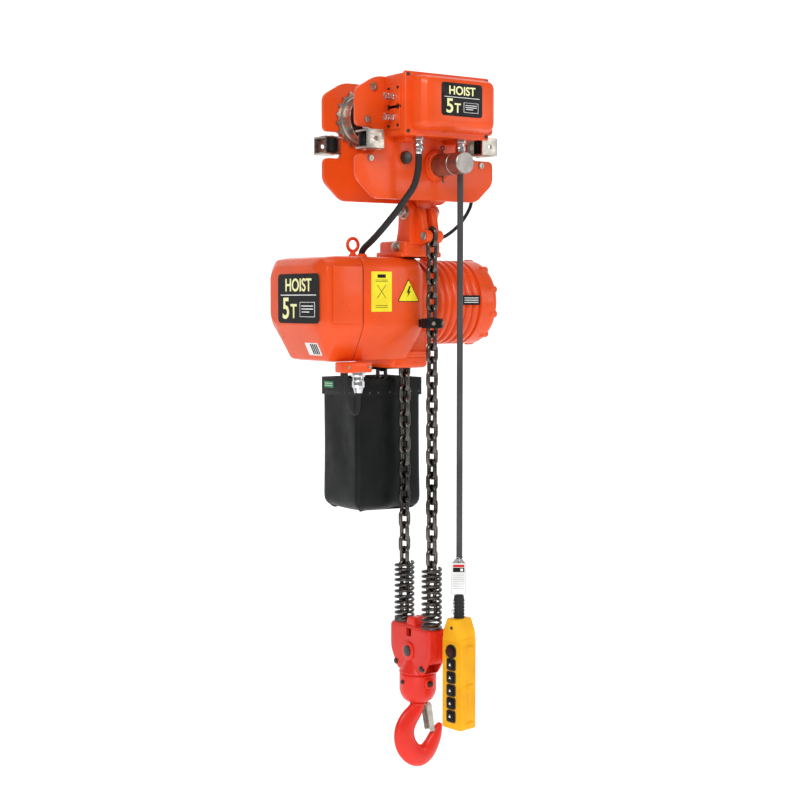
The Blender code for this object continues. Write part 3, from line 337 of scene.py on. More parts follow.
def surface(name, colour, roughness, metallic=0.0, coat=0.0):
    """A Principled material with its node tree, its shader and a coordinate node to build textures on."""
    made = bpy.data.materials.new(name)
    made.use_nodes = True
    tree = made.node_tree
    shader = tree.nodes["Principled BSDF"]
    shader.inputs["Base Color"].default_value = (*colour, 1)
    shader.inputs["Roughness"].default_value = roughness
    shader.inputs["Metallic"].default_value = metallic
    shader.inputs["Coat Weight"].default_value = coat
    shader.inputs["Specular IOR Level"].default_value = 0.30
    shader.inputs["Coat Roughness"].default_value = 0.12
    return made, tree, shader, tree.nodes.new("ShaderNodeTexCoord")


def noise(tree, coordinates, scale, detail=4.0, stretch=(1, 1, 1)):
    mapping = tree.nodes.new("ShaderNodeMapping")
    mapping.inputs["Scale"].default_value = stretch
    texture = tree.nodes.new("ShaderNodeTexNoise")
    texture.inputs["Scale"].default_value = scale
    texture.inputs["Detail"].default_value = detail
    tree.links.new(coordinates.outputs["Object"], mapping.inputs["Vector"])
    tree.links.new(mapping.outputs["Vector"], texture.inputs["Vector"])
    return texture.outputs["Fac"]


def vary_colour(tree, shader, factor, dark, light, low=0.35, high=0.65):
    ramp = tree.nodes.new("ShaderNodeValToRGB")
    ramp.color_ramp.elements[0].position = low
    ramp.color_ramp.elements[0].color = (*dark, 1)
    ramp.color_ramp.elements[1].position = high
    ramp.color_ramp.elements[1].color = (*light, 1)
    tree.links.new(factor, ramp.inputs["Fac"])
    tree.links.new(ramp.outputs["Color"], shader.inputs["Base Color"])


def vary_roughness(tree, shader, factor, low, high):
    mapped = tree.nodes.new("ShaderNodeMapRange")
    mapped.inputs["From Min"].default_value = 0.3
    mapped.inputs["From Max"].default_value = 0.7
    mapped.inputs["To Min"].default_value = low
    mapped.inputs["To Max"].default_value = high
    tree.links.new(factor, mapped.inputs["Value"])
    tree.links.new(mapped.outputs["Result"], shader.inputs["Roughness"])


def roughen(tree, shader, factor, strength, distance=0.0005):
    bump = tree.nodes.new("ShaderNodeBump")
    bump.inputs["Strength"].default_value = strength
    bump.inputs["Distance"].default_value = distance
    tree.links.new(factor, bump.inputs["Height"])
    tree.links.new(bump.outputs["Normal"], shader.inputs["Normal"])


def paint(name, colour, roughness=0.32):
    made, tree, shader, place = surface(name, colour, roughness, coat=0.15)
    darker = tuple(c * 0.86 for c in colour)
    vary_colour(tree, shader, noise(tree, place, 7), darker, colour)
    vary_roughness(tree, shader, noise(tree, place, 60), roughness - 0.06, roughness + 0.10)
    roughen(tree, shader, noise(tree, place, 420, 2), 0.10)
    return made


def metal(name, colour, roughness, spread=0.1, stretch=(1, 1, 1), grain=300, bump=0.06):
    made, tree, shader, place = surface(name, colour, roughness, metallic=1.0)
    darker = tuple(c * 0.72 for c in colour)
    vary_colour(tree, shader, noise(tree, place, 40, 6), darker, colour)
    vary_roughness(tree, shader, noise(tree, place, 90, 5, stretch), roughness - spread, roughness + spread)
    roughen(tree, shader, noise(tree, place, grain, 3, stretch), bump)
    return made


def polymer(name, colour, roughness, bump=0.12, grain=900):
    made, tree, shader, place = surface(name, colour, roughness)
    lighter = tuple(min(1.0, c * 1.25 + 0.002) for c in colour)
    vary_colour(tree, shader, noise(tree, place, 15), colour, lighter)
    vary_roughness(tree, shader, noise(tree, place, 50), roughness - 0.07, roughness + 0.10)
    roughen(tree, shader, noise(tree, place, grain, 2), bump, 0.0003)
    shader.inputs["Specular IOR Level"].default_value = 0.16
    return made


def coated_fabric():
    made, tree, shader, place = surface("bag_fabric", (0.005, 0.006, 0.006), 0.36)
    vary_colour(tree, shader, noise(tree, place, 9), (0.003, 0.004, 0.004), (0.008, 0.010, 0.009))
    vary_roughness(tree, shader, noise(tree, place, 30), 0.34, 0.52)
    weave = tree.nodes.new("ShaderNodeTexWave")
    weave.inputs["Scale"].default_value = 160
    weave.inputs["Distortion"].default_value = 0.4
    tree.links.new(place.outputs["Object"], weave.inputs["Vector"])
    roughen(tree, shader, weave.outputs["Fac"], 0.25, 0.0004)
    shader.inputs["Sheen Weight"].default_value = 0.0
    shader.inputs["Specular IOR Level"].default_value = 0.22
    return made


RED = paint("red_paint", (0.90, 0.088, 0.009))
HOOK_RED = paint("hook_red", (0.86, 0.026, 0.012), 0.36)
STEEL = metal("steel", (0.56, 0.52, 0.46), 0.34, 0.10, (1, 1, 6))
BRIGHT = metal("bright_steel", (0.40, 0.37, 0.345), 0.40, 0.06, (1, 1, 1), 260, 0.03)
CHAIN_STEEL = metal("dark_steel", (0.16, 0.145, 0.13), 0.27, 0.12, (1, 1, 1), 500, 0.12)
SPRING_STEEL = metal("spring_steel", (0.11, 0.105, 0.10), 0.38, 0.1, (1, 1, 1), 500, 0.08)
CHROME = metal("chrome", (0.78, 0.78, 0.80), 0.14, 0.05, (1, 1, 1), 400, 0.02)
RUBBER = polymer("black_rubber", (0.022, 0.022, 0.023), 0.50, 0.18, 700)
CABLE_GREY = polymer("cable_jacket", (0.060, 0.060, 0.063), 0.42, 0.10, 700)
PLASTIC = polymer("black_plastic", (0.006, 0.006, 0.0065), 0.38)
YELLOW = polymer("yellow_plastic", (0.90, 0.40, 0.008), 0.40)
FABRIC = coated_fabric()
LABEL_BLACK = polymer("label_black", (0.004, 0.004, 0.0045), 0.30, 0.02)
LABEL_YELLOW = polymer("label_yellow", (0.90, 0.72, 0.03), 0.35, 0.02)
LABEL_PALE = polymer("label_pale", (0.93, 0.88, 0.42), 0.35, 0.02)
LABEL_WHITE = polymer("label_white", (0.82, 0.82, 0.80), 0.40, 0.02)
TAG_GREY = polymer("tag_grey", (0.30, 0.30, 0.31), 0.40, 0.02)
LABEL_GREEN = polymer("label_green", (0.05, 0.36, 0.16), 0.40, 0.02)
LABEL_RED = polymer("label_red", (0.62, 0.02, 0.02), 0.40, 0.02)


# ---------- labels, bolts and other small pieces ----------

def on_face(obj, centre, right, up):
    """Moves a flat piece made in the XY plane, facing +Z, to a face with these right and up directions."""
    right, up = Vector(right).normalized(), Vector(up).normalized()
    out = right.cross(up).normalized()
    turn = Matrix((right, up, out)).transposed().to_4x4()
    obj.matrix_world = Matrix.Translation(centre) @ turn
    return baked(obj)


def sticker(name, body, surface_, size, centre, right, up, lift=0.0004, corner=0.004, offset=(0, 0)):
    """A thin printed film on a face. Offset is along right and up, from the middle of the label."""
    w, h = size[0] / 2, size[1] / 2
    film = slab(name, rounded([(-w, -h), (w, -h), (w, h), (-w, h)], corner, 4), "Z", 0, lift)
    place = Vector(centre) + Vector(right).normalized() * offset[0] + Vector(up).normalized() * offset[1]
    return show(on_face(film, place, right, up), name, body, surface_)


def rating_plate(name, body, size, centre, right, up):
    """A black plate with a plain word, the capacity and a small data field."""
    w, h = size
    sticker(name, body, LABEL_BLACK, size, centre, right, up, 0.0005, 0.11 * h)
    bars = [
        ("rule", LABEL_WHITE, (0.86 * w, 0.018 * h), (0, 0.07 * h)),
        ("frame", LABEL_WHITE, (0.36 * w, 0.30 * h), (0.22 * w, -0.22 * h)),
        ("inner", LABEL_BLACK, (0.34 * w, 0.28 * h), (0.22 * w, -0.22 * h)),
        ("line_1", LABEL_WHITE, (0.28 * w, 0.020 * h), (0.22 * w, -0.15 * h)),
        ("line_2", LABEL_WHITE, (0.28 * w, 0.020 * h), (0.22 * w, -0.21 * h)),
        ("line_3", LABEL_WHITE, (0.18 * w, 0.020 * h), (0.18 * w, -0.27 * h)),
    ]
    for i, (part, tone, bar_size, offset) in enumerate(bars):
        sticker(f"{name}_{part}", body, tone, bar_size,
                centre, right, up, 0.0007 + 0.0001 * i, 0.0008, offset)
    words = [
        ("word", "HOIST", 0.36 * h, 0.0, 0.26 * h), ("five", "5", 0.60 * h, -0.30 * w, -0.22 * h),
        ("tonne", "T", 0.40 * h, -0.11 * w, -0.27 * h)
    ]
    for part, letters, height, along, above in words:
        text = bpy.data.curves.new(f"{name}_{part}", "FONT")
        text.body = letters
        text.size = height
        text.extrude = 0.0010
        text.offset = 0.018 * height
        text.align_x = "CENTER"
        text.align_y = "CENTER"
        place = Vector(centre) + Vector(right).normalized() * along + Vector(up).normalized() * above
        piece = on_face(new_object(f"{name}_{part}", text), place, right, up)
        show(piece, f"{name}_{part}", body, LABEL_PALE)


def pointed(obj, place, axis, turn=0.0):
    """Moves a piece made along +Z to a place, pointing along an axis, which may be negative, as in -Y."""
    sign = -1 if axis.startswith("-") else 1
    out = Vector([sign if c == axis[-1] else 0 for c in "XYZ"]).to_track_quat("Z", "Y").to_matrix().to_4x4()
    obj.matrix_world = Matrix.Translation(place) @ out @ Matrix.Rotation(turn, 4, "Z")
    return baked(obj)


def hex_bolt(name, place, axis, radius, height, body, surface_, turn=0.0):
    """A hexagon head that stands out from place along the axis, which may be negative, as in -Y."""
    head = cylinder(name, (0, 0, 0), "Z", radius, height, radius * 0.08, 6)
    washer = cylinder("washer", (0, 0, -0.0015), "Z", radius * 1.18, 0.0025, 0.0004, 32)
    stud = cylinder("stud", (0, 0, height - 0.001), "Z", radius * 0.52, height * 0.45, 0.0006, 24)
    head = together(head, washer, stud)
    return show(pointed(head, place, axis, turn), name, body, surface_)


def cap_screw(name, place, axis, radius, height, body, surface_):
    """A round socket screw with its socket."""
    head = cylinder(name, (0, 0, -0.001), "Z", radius, height + 0.001, radius * 0.15, 28)
    head = cut(head, cylinder("socket", (0, 0, height * 0.35), "Z", radius * 0.5, height, 0.0, 6))
    return show(pointed(head, place, axis), name, body, surface_)


def gland(name, place, axis, body, replaced=(), scale=1.0, cable=0.0085):
    """A nickel-plated cable gland that points away from place along the axis."""
    base = cylinder(name, (0, 0, -0.001), "Z", 0.0150 * scale, 0.011 * scale, 0.0012, 6)
    barrel = cylinder("barrel", (0, 0, 0.009 * scale), "Z", 0.0118 * scale, 0.012 * scale, 0.0006, 40)
    nut = cylinder("nut", (0, 0, 0.019 * scale), "Z", 0.0135 * scale, 0.014 * scale, 0.0012, 6)
    tail = cylinder(
        "tail", (0, 0, 0.031 * scale), "Z", 0.0115 * scale, 0.0135 * scale, 0.0008, 40,
        max(cable + 0.0012, 0.0085 * scale)
    )
    body_piece = together(base, barrel, nut, tail)
    return show(pointed(body_piece, place, axis), name, body, CHROME, replaced)


# ---------- trolley ----------

PLATE_LOW, PLATE_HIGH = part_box("near_side_plate")
PLATE_THICKNESS = 0.012
PLATE_OUTER = 0.082
PLATE_INNER = PLATE_OUTER - PLATE_THICKNESS
GUIDE_Z = middle("guide_bracket_near_left").z


def plate_outline(side):
    left, right, bottom, top = PLATE_LOW.x, PLATE_HIGH.x, PLATE_LOW.z, PLATE_HIGH.z
    notch_low, notch_high = GUIDE_Z - 0.034, GUIDE_Z + 0.034
    notch_left = middle(f"guide_roller_{side}_left").x + 0.0255
    notch_right = middle(f"guide_roller_{side}_right").x - 0.0255
    return rounded([
        (left + 0.055, bottom), (right - 0.055, bottom), (right, bottom + 0.050),
        (right, notch_low), (notch_right, notch_low), (notch_right, notch_high),
        (right, notch_high), (right, top - 0.040), (right - 0.040, top),
        (left + 0.060, top), (left, top - 0.035), (left, notch_high),
        (notch_left, notch_high), (notch_left, notch_low), (left, notch_low), (left, bottom + 0.050),
    ], 0.016, 5)


def side_plate(side, sign):
    inner, outer = sign * PLATE_INNER, sign * PLATE_OUTER
    low, high = min(inner, outer), max(inner, outer)
    hole = arc((0, SHAFT_Z), SHAFT_RADIUS + 0.0004, 0, 352.5, 47)
    body = slab("plate", plate_outline(side), "Y", low, high, 0.0025, 3, [hole])
    axles = []
    for end in ("left", "right"):
        wheel = middle(f"{side}_wheel_{end}")
        start = sign * PLATE_INNER if sign < 0 else PLATE_INNER - 0.052
        axles.append(cylinder("axle", (wheel.x, start - 0.001, wheel.z), "Y", 0.015, 0.052, 0.001, 40))
        front = outer if sign > 0 else outer - 0.006
        axles.append(cylinder("axle_end", (wheel.x, front, wheel.z), "Y", 0.017, 0.006, 0.001, 40))
    collars = []
    for radius, reach in ((SHAFT_RADIUS + 0.013, 0.008), (SHAFT_RADIUS + 0.009, 0.014)):
        start = outer - 0.001 if sign > 0 else outer - reach
        ring = arc((0, SHAFT_Z), radius, 0, 352.5, 47)
        collars.append(slab("collar", ring, "Y", start, start + reach + 0.001, 0.0012, 2, [hole]))
    body = together(body, *axles, *collars)
    show(body, f"{side}_plate_body", "trolley", RED, [f"{side}_side_plate"])


def plate_bolts():
    """The screws that show on the outer face of the near plate."""
    places = [
        (-0.198, 0.128, 0.0105), (-0.217, 0.046, 0.0085), (-0.207, -0.050, 0.0085), (0.146, -0.052, 0.0085),
        (0.150, 0.104, 0.0085)
    ]
    for i, (x, z, radius) in enumerate(places):
        cap_screw(f"near_plate_screw_{i}", (x, -PLATE_OUTER, z), "-Y", radius, 0.004, "trolley", STEEL)
        cap_screw(f"far_plate_screw_{i}", (x, PLATE_OUTER, z), "Y", radius, 0.004, "trolley", STEEL)
    plug = cylinder("plug", (-0.100, -PLATE_OUTER - 0.010, -0.044), "Y", 0.016, 0.011, 0.002, 40)
    show(plug, "oil_plug", "trolley", SPRING_STEEL)


def suspension_shaft():
    r, edge = SHAFT_RADIUS, 0.0025
    front, back = SHAFT_LOW.y, SHAFT_HIGH.y
    profile = [
        (0, back), (r - edge, back), (r, back - edge), (r, front + 0.046), (r - 0.0012, front + 0.045),
        (r - 0.0012, front + 0.043), (r, front + 0.042), (r, front + edge), (r - edge, front), (0, front),
    ]
    shaft = turned("shaft", profile, (0, 0, SHAFT_Z), "Y", 96)
    hole = cylinder("hole", (0, front + 0.060, SHAFT_Z - 0.05), "Z", 0.0035, 0.1, 0, 20)
    show(cut(shaft, hole), "shaft_body", "trolley", BRIGHT, ["suspension_shaft"])
    y = -PLATE_OUTER - 0.026
    loop = [
        (0, y, SHAFT_Z + r + 0.012), (0, y, SHAFT_Z + r + 0.004), (0, y, SHAFT_Z - r - 0.004),
        (0.004, y, SHAFT_Z - r - 0.016)
    ]
    pin = tube("pin", flowing(loop, 4), 0.0022)
    eye = tube(
        "eye", [(0.005 * cos(a), y, SHAFT_Z + r + 0.016 + 0.005 * sin(a))
            for a in [i * pi / 12 for i in range(24)]], 0.0018, 4, True
    )
    show(together(pin, eye), "shaft_cotter_pin", "trolley", SPRING_STEEL)


def wheels():
    for side, sign in (("near", -1), ("far", 1)):
        for end in ("left", "right"):
            name = f"{side}_wheel_{end}"
            low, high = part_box(name)
            c = middle(name)
            inner, outer = sorted((abs(low.y), abs(high.y)))
            rim = inner + 0.040
            profile = [
                (0.0175, outer - 0.001), (0.026, outer - 0.001), (0.028, outer - 0.003),
                (0.055, outer - 0.003),
                (0.058, outer), (0.071, outer), (0.072, outer - 0.001), (0.072, rim + 0.001), (0.0705, rim),
                (0.0645, rim - 0.001), (0.0625, rim - 0.004), (0.0625, inner + 0.002), (0.0605, inner),
                (0.028, inner), (0.026, inner), (0.0175, inner),
            ]
            if sign < 0:
                profile = [(radius, -height) for radius, height in reversed(profile)]
            tread = turned("wheel", profile, (c.x, 0, c.z), "Y", 72, closed=True)
            replaced = [name] if sign < 0 else []
            show(tread, f"{name}_tread", name, STEEL, replaced)
            bearing = turned(
                "bearing", [(0.0155, sign * outer), (0.0172, sign * outer),
                    (0.0172, sign * (outer - 0.008)), (0.0155, sign * (outer - 0.008))], (c.x, 0, c.z), "Y",
                    40, True
            )
            show(bearing, f"{name}_bearing", name, CHROME)
    for name in ("far_wheel_left", "far_wheel_right", "drive_pinion"):
        dress(name, STEEL)


def guides():
    """Bent steel channels with a threaded hole in front, and the rollers inside them."""
    for side, sign in (("near", -1), ("far", 1)):
        for end in ("left", "right"):
            name = f"guide_bracket_{side}_{end}"
            low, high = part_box(name)
            roller = middle(f"guide_roller_{side}_{end}")
            half, wall = 0.025, 0.005
            front = high.y if sign > 0 else low.y
            back = sign * (PLATE_INNER + 0.001)
            inward = 1 if end == "left" else -1
            near, far = sorted((front, front - sign * wall))
            hole = arc((roller.x, GUIDE_Z), 0.0055, 0, 345, 23)
            face = [
                (roller.x - half, low.z), (roller.x + half, low.z), (roller.x + half, high.z),
                (roller.x - half, high.z)
            ]
            web = slab("web", rounded(face, 0.003, 3), "Y", near, far, 0.0015, 3, [hole])
            ys = sorted((back, front - sign * 0.001))
            shelves = [
                box("shelf", (roller.x - half, ys[0], z), (roller.x + half, ys[1], z + wall), 0.0012)
                for z in (low.z, high.z - wall)
            ]
            xs = sorted((roller.x + inward * (half - 0.004), roller.x + inward * (half + 0.018)))
            ears = sorted((sign * (PLATE_OUTER + 0.0003), sign * (PLATE_OUTER + 0.0053)))
            ear = box("ear", (xs[0], ears[0], low.z), (xs[1], ears[1], high.z), 0.0012)
            pin = cylinder(
                "pin", (roller.x, roller.y, low.z - 0.002), "Z", 0.005, high.z - low.z + 0.004, 0.001, 24
            )
            show(together(web, *shelves, ear, pin), f"{name}_body", "trolley", STEEL, [name])
            r_low, r_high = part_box(f"guide_roller_{side}_{end}")
            r = (r_high.x - r_low.x) / 2
            h = (r_high.z - r_low.z) / 2
            profile = [
                (0.0056, h), (r - 0.003, h), (r, h - 0.003), (r, -h + 0.003), (r - 0.003, -h), (0.0056, -h)
            ]
            body = turned("roller", profile, (roller.x, roller.y, roller.z), "Z", 48, closed=True)
            show(
                body, f"guide_roller_{side}_{end}_body", f"guide_roller_{side}_{end}", PLASTIC,
                [f"guide_roller_{side}_{end}"]
            )


def dress(node, surface_, angle=30, edge=0.0):
    """A CAD node that is shown as it is, with its finish and a soft edge."""
    obj = frame["nodes"][node]
    obj.data.materials.clear()
    obj.data.materials.append(surface_)
    for polygon in obj.data.polygons:
        polygon.material_index = 0
    smooth(obj, angle)
    if edge:
        bevel = obj.modifiers.new("edge", "BEVEL")
        bevel.width = edge
        bevel.segments = 2
        bevel.limit_method = "ANGLE"
        bevel.angle_limit = radians(40)


def drive_unit():
    """The trolley's gearbox and its motor, on the far plate."""
    low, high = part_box("drive_gearbox")
    c = middle("drive_gearbox")
    w, h = (high.x - low.x) / 2, (high.z - low.z) / 2
    corner = 0.030
    outline = rounded([
        (c.x + w - corner, c.z - h), (c.x + w, c.z - h + corner), (c.x + w, c.z + h - corner),
        (c.x + w - corner, c.z + h),
        (c.x - w + corner, c.z + h), (c.x - w, c.z + h - corner), (c.x - w, c.z - h + corner),
        (c.x - w + corner, c.z - h),
    ], 0.012, 4)
    case = slab("case", outline, "Y", low.y, high.y, 0.005, 4)
    seam_y = (low.y + high.y) / 2
    wide = [(c.x + (x - c.x) * 1.06, c.z + (z - c.z) * 1.07) for x, z in outline]
    flange = slab("flange", wide, "Y", seam_y - 0.006, seam_y + 0.006, 0.002, 2)
    show(together(case, flange), "drive_gearbox_body", "trolley", RED, ["drive_gearbox"])
    for i in range(6):
        angle = i * pi / 3 + 0.5
        hex_bolt(
            f"gearbox_bolt_{i}", (c.x + w * 0.93 * cos(angle), seam_y + 0.006, c.z + h * 0.93 * sin(angle)),
            "Y", 0.006, 0.005, "trolley", STEEL
        )
    low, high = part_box("drive_motor")
    c = middle("drive_motor")
    r = (high.z - low.z) / 2
    fins = []
    start, end, pitch = low.y + 0.018, high.y - 0.052, 0.010
    count = int((end - start) / pitch)
    for i in range(count):
        y = start + i * pitch
        fins += [(r - 0.010, y), (r - 0.002, y + 0.002), (r - 0.002, y + 0.005), (r - 0.010, y + 0.007)]
    profile = [
        (0, high.y), (r - 0.018, high.y), (r - 0.006, high.y - 0.008), (r - 0.004, high.y - 0.014),
        (r - 0.004, high.y - 0.044),
        (r - 0.008, high.y - 0.048), *reversed(fins), (r - 0.008, low.y + 0.016), (r, low.y + 0.014),
        (r, low.y), (0, low.y),
    ]
    motor = turned("motor", profile, (c.x, 0, c.z), "Y", 72)
    show(motor, "drive_motor_body", "trolley", RED, ["drive_motor"])
    for i in range(12):
        angle = i * pi / 6
        slot_piece = box("vent", (-0.0018, -0.0006, 0.014), (0.0018, 0.0006, 0.036), 0.0005, 1)
        turn = Matrix.Rotation(angle, 4, "Y")
        slot_piece.matrix_world = Matrix.Translation((c.x, high.y + 0.0002, c.z)) @ turn
        show(baked(slot_piece), f"drive_motor_vent_{i}", "trolley", PLASTIC)


# ---------- control box ----------

def control_box():
    low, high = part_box("control_box")
    lid_low, lid_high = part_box("control_box_lid")
    left, seam = lid_low.x + 0.003, lid_high.y
    base = box("base", (left, seam + 0.0006, low.z), (high.x, high.y, high.z), 0.006, 4)
    gasket = box(
        "gasket", (left + 0.002, seam - 0.0005, low.z + 0.002),
        (high.x - 0.002, seam + 0.0015, high.z - 0.002)
    )
    show(base, "control_box_body", "trolley", RED, ["control_box"])
    show(gasket, "control_box_gasket", "trolley", RUBBER)
    for i, x in enumerate((left + 0.030, high.x - 0.070)):
        foot = box("foot", (x, high.y - 0.045, low.z - 0.012), (x + 0.040, high.y, low.z + 0.004), 0.002)
        show(foot, f"control_box_foot_{i}", "trolley", RED)
    rim = box("rim", (lid_low.x, seam - 0.012, lid_low.z), (lid_high.x, seam - 0.0004, lid_high.z), 0.0045, 4)
    d_left, d_right = lid_low.x + 0.017, lid_high.x - 0.009
    d_low, d_high = lid_low.z + 0.013, lid_high.z - 0.009
    sections = []
    for y, inset in (
        (seam - 0.010, 0.0), (lid_low.y + 0.016, 0.004), (lid_low.y + 0.005, 0.010), (lid_low.y, 0.020)
    ):
        left_inset = inset * 1.9
        points = [
            (d_left + left_inset, d_low + inset), (d_right - inset, d_low + inset),
            (d_right - inset, d_high - inset), (d_left + left_inset, d_high - inset),
        ]
        sections.append((y, rounded(points, 0.018, 5)))
    dome = smooth(loft("dome", sections, "Y"))
    dome = bevelled(dome, 0.004, 3, 25)
    show(together(rim, dome), "control_box_lid_body", "trolley", RED, ["control_box_lid"])
    for i, (x, z) in enumerate(
        [(x, z) for x in (lid_low.x + 0.009, lid_high.x - 0.009)
            for z in (lid_low.z + 0.009, lid_high.z - 0.009)]
    ):
        cap_screw(f"lid_screw_{i}", (x, seam - 0.012, z), "-Y", 0.0045, 0.003, "trolley", SPRING_STEEL)
    rating_plate(
        "box_plate", "trolley", (0.128, 0.082),
        (lid_high.x - 0.125, lid_low.y - 0.0002, (lid_low.z + lid_high.z) / 2 + 0.010), (1, 0, 0), (0, 0, 1)
    )
    for i, z in enumerate((low.z + 0.044, high.z - 0.058)):
        y = (seam + high.y) / 2 - 0.004
        plate = box(
            "plate", (left - 0.004, y - 0.027, z - 0.030), (left + 0.001, y + 0.027, z + 0.030), 0.0015
        )
        show(plate, f"side_gland_plate_{i}", "trolley", RED)
        gland(f"side_gland_{i}", (left - 0.003, y, z), "-X", "trolley", scale=0.66)
        for j, (dy, dz) in enumerate([(a, b) for a in (-0.020, 0.020) for b in (-0.022, 0.022)]):
            cap_screw(
                f"side_plate_screw_{i}_{j}", (left - 0.004, y + dy, z + dz), "-X", 0.0035, 0.003, "trolley",
                SPRING_STEEL
            )
    for name in ("hoist_lead_gland", "pendant_gland"):
        c, top = middle(name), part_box(name)[1].z
        gland(f"{name}_body", (c.x, c.y, top), "-Z", "trolley", [name], cable=0.0085)


# ---------- suspension ----------

def suspension():
    low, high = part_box("suspender")
    bolt = middle("lifting_bolt")
    eye_r = (high.x - low.x) / 2
    hole = arc((0, SHAFT_Z), SHAFT_RADIUS + 0.0006, 0, 352.5, 47)
    eye = slab("eye", arc((0, SHAFT_Z), eye_r, 0, 352.5, 47), "Y", low.y, high.y, 0.002, 3, [hole])
    width, half = 0.022, 0.028
    outline = [(half, SHAFT_Z - 0.026), *arc((0, bolt.z), half, 0, -180, 16), (-half, SHAFT_Z - 0.026)]
    tongue = slab("tongue", outline, "X", -width, width, 0.003, 3)
    show(together(eye, tongue), "suspender_body", "suspender", RED, ["suspender"], angle=35)
    low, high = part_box("suspension_yoke")
    pieces = []
    for inner, outer in ((-0.046, -0.0235), (0.0235, 0.046)):
        cheek = [
            (-0.029, -0.262), (0.042, -0.262), (0.030, -0.225), *arc((0, bolt.z), 0.026, 0, 180, 16),
            (-0.027, -0.215)
        ]
        pieces.append(slab("cheek", rounded(cheek, 0.004, 2), "X", inner, outer, 0.003, 3))
    pin = middle("anchor_pin")
    for inner, outer in ((-0.026, -0.0085), (0.0085, 0.026)):
        ear = [
            (0.0, -0.255), (0.0, -0.190), (-0.020, -0.165), (-0.038, -0.166), (-0.050, -0.185),
            *arc((pin.y, pin.z), 0.0165, 75, 285, 12), (-0.030, -0.262)
        ]
        pieces.append(slab("ear", rounded(ear, 0.004, 2), "X", inner, outer, 0.003, 3))
    base = box("base", (-0.062, -0.026, low.z), (0.055, 0.095, -0.252), 0.008, 4)
    foot = box("foot", (-0.068, -0.020, low.z), (0.062, 0.100, low.z + 0.014), 0.004, 3)
    bridge = box("bridge", (-0.040, -0.026, -0.262), (0.040, 0.040, -0.218), 0.008, 4)
    show(
        together(base, foot, bridge, *pieces), "suspension_yoke_body", "hoist", RED, ["suspension_yoke"],
        angle=35
    )
    reach = 0.0465
    shank = cylinder("shank", (-reach, 0, bolt.z), "X", 0.011, 2 * reach, 0, 32)
    show(shank, "lifting_bolt_body", "hoist", STEEL, ["lifting_bolt"])
    hex_bolt("lifting_bolt_head", (-reach, 0, bolt.z), "-X", 0.018, 0.012, "hoist", STEEL, 0.2)
    hex_bolt("lifting_bolt_nut", (reach, 0, bolt.z), "X", 0.018, 0.012, "hoist", STEEL, 0.5)
    hex_bolt("yoke_bolt_head", (-0.062, 0.012, -0.268), "-X", 0.013, 0.009, "hoist", STEEL, 0.3)
    body = cylinder("pin", (pin.x - 0.028, pin.y, pin.z), "X", 0.006, 0.056, 0.001, 32)
    head = cylinder("head", (-0.032, pin.y, pin.z), "X", 0.011, 0.006, 0.0015, 32)
    show(together(body, head), "anchor_pin_body", "hoist", STEEL, ["anchor_pin"])


# ---------- hoist body ----------

def body_section(half, top, bottom, top_corner, side_corner, low_corner):
    y = BODY_Y
    return rounded([
        (y - half + side_corner, bottom), (y + half - side_corner, bottom), (y + half, bottom + low_corner),
        (y + half, top - top_corner), (y + half - top_corner, top), (y - half + top_corner, top),
        (y - half, top - top_corner), (y - half, bottom + low_corner),
    ], 0.012, 3)


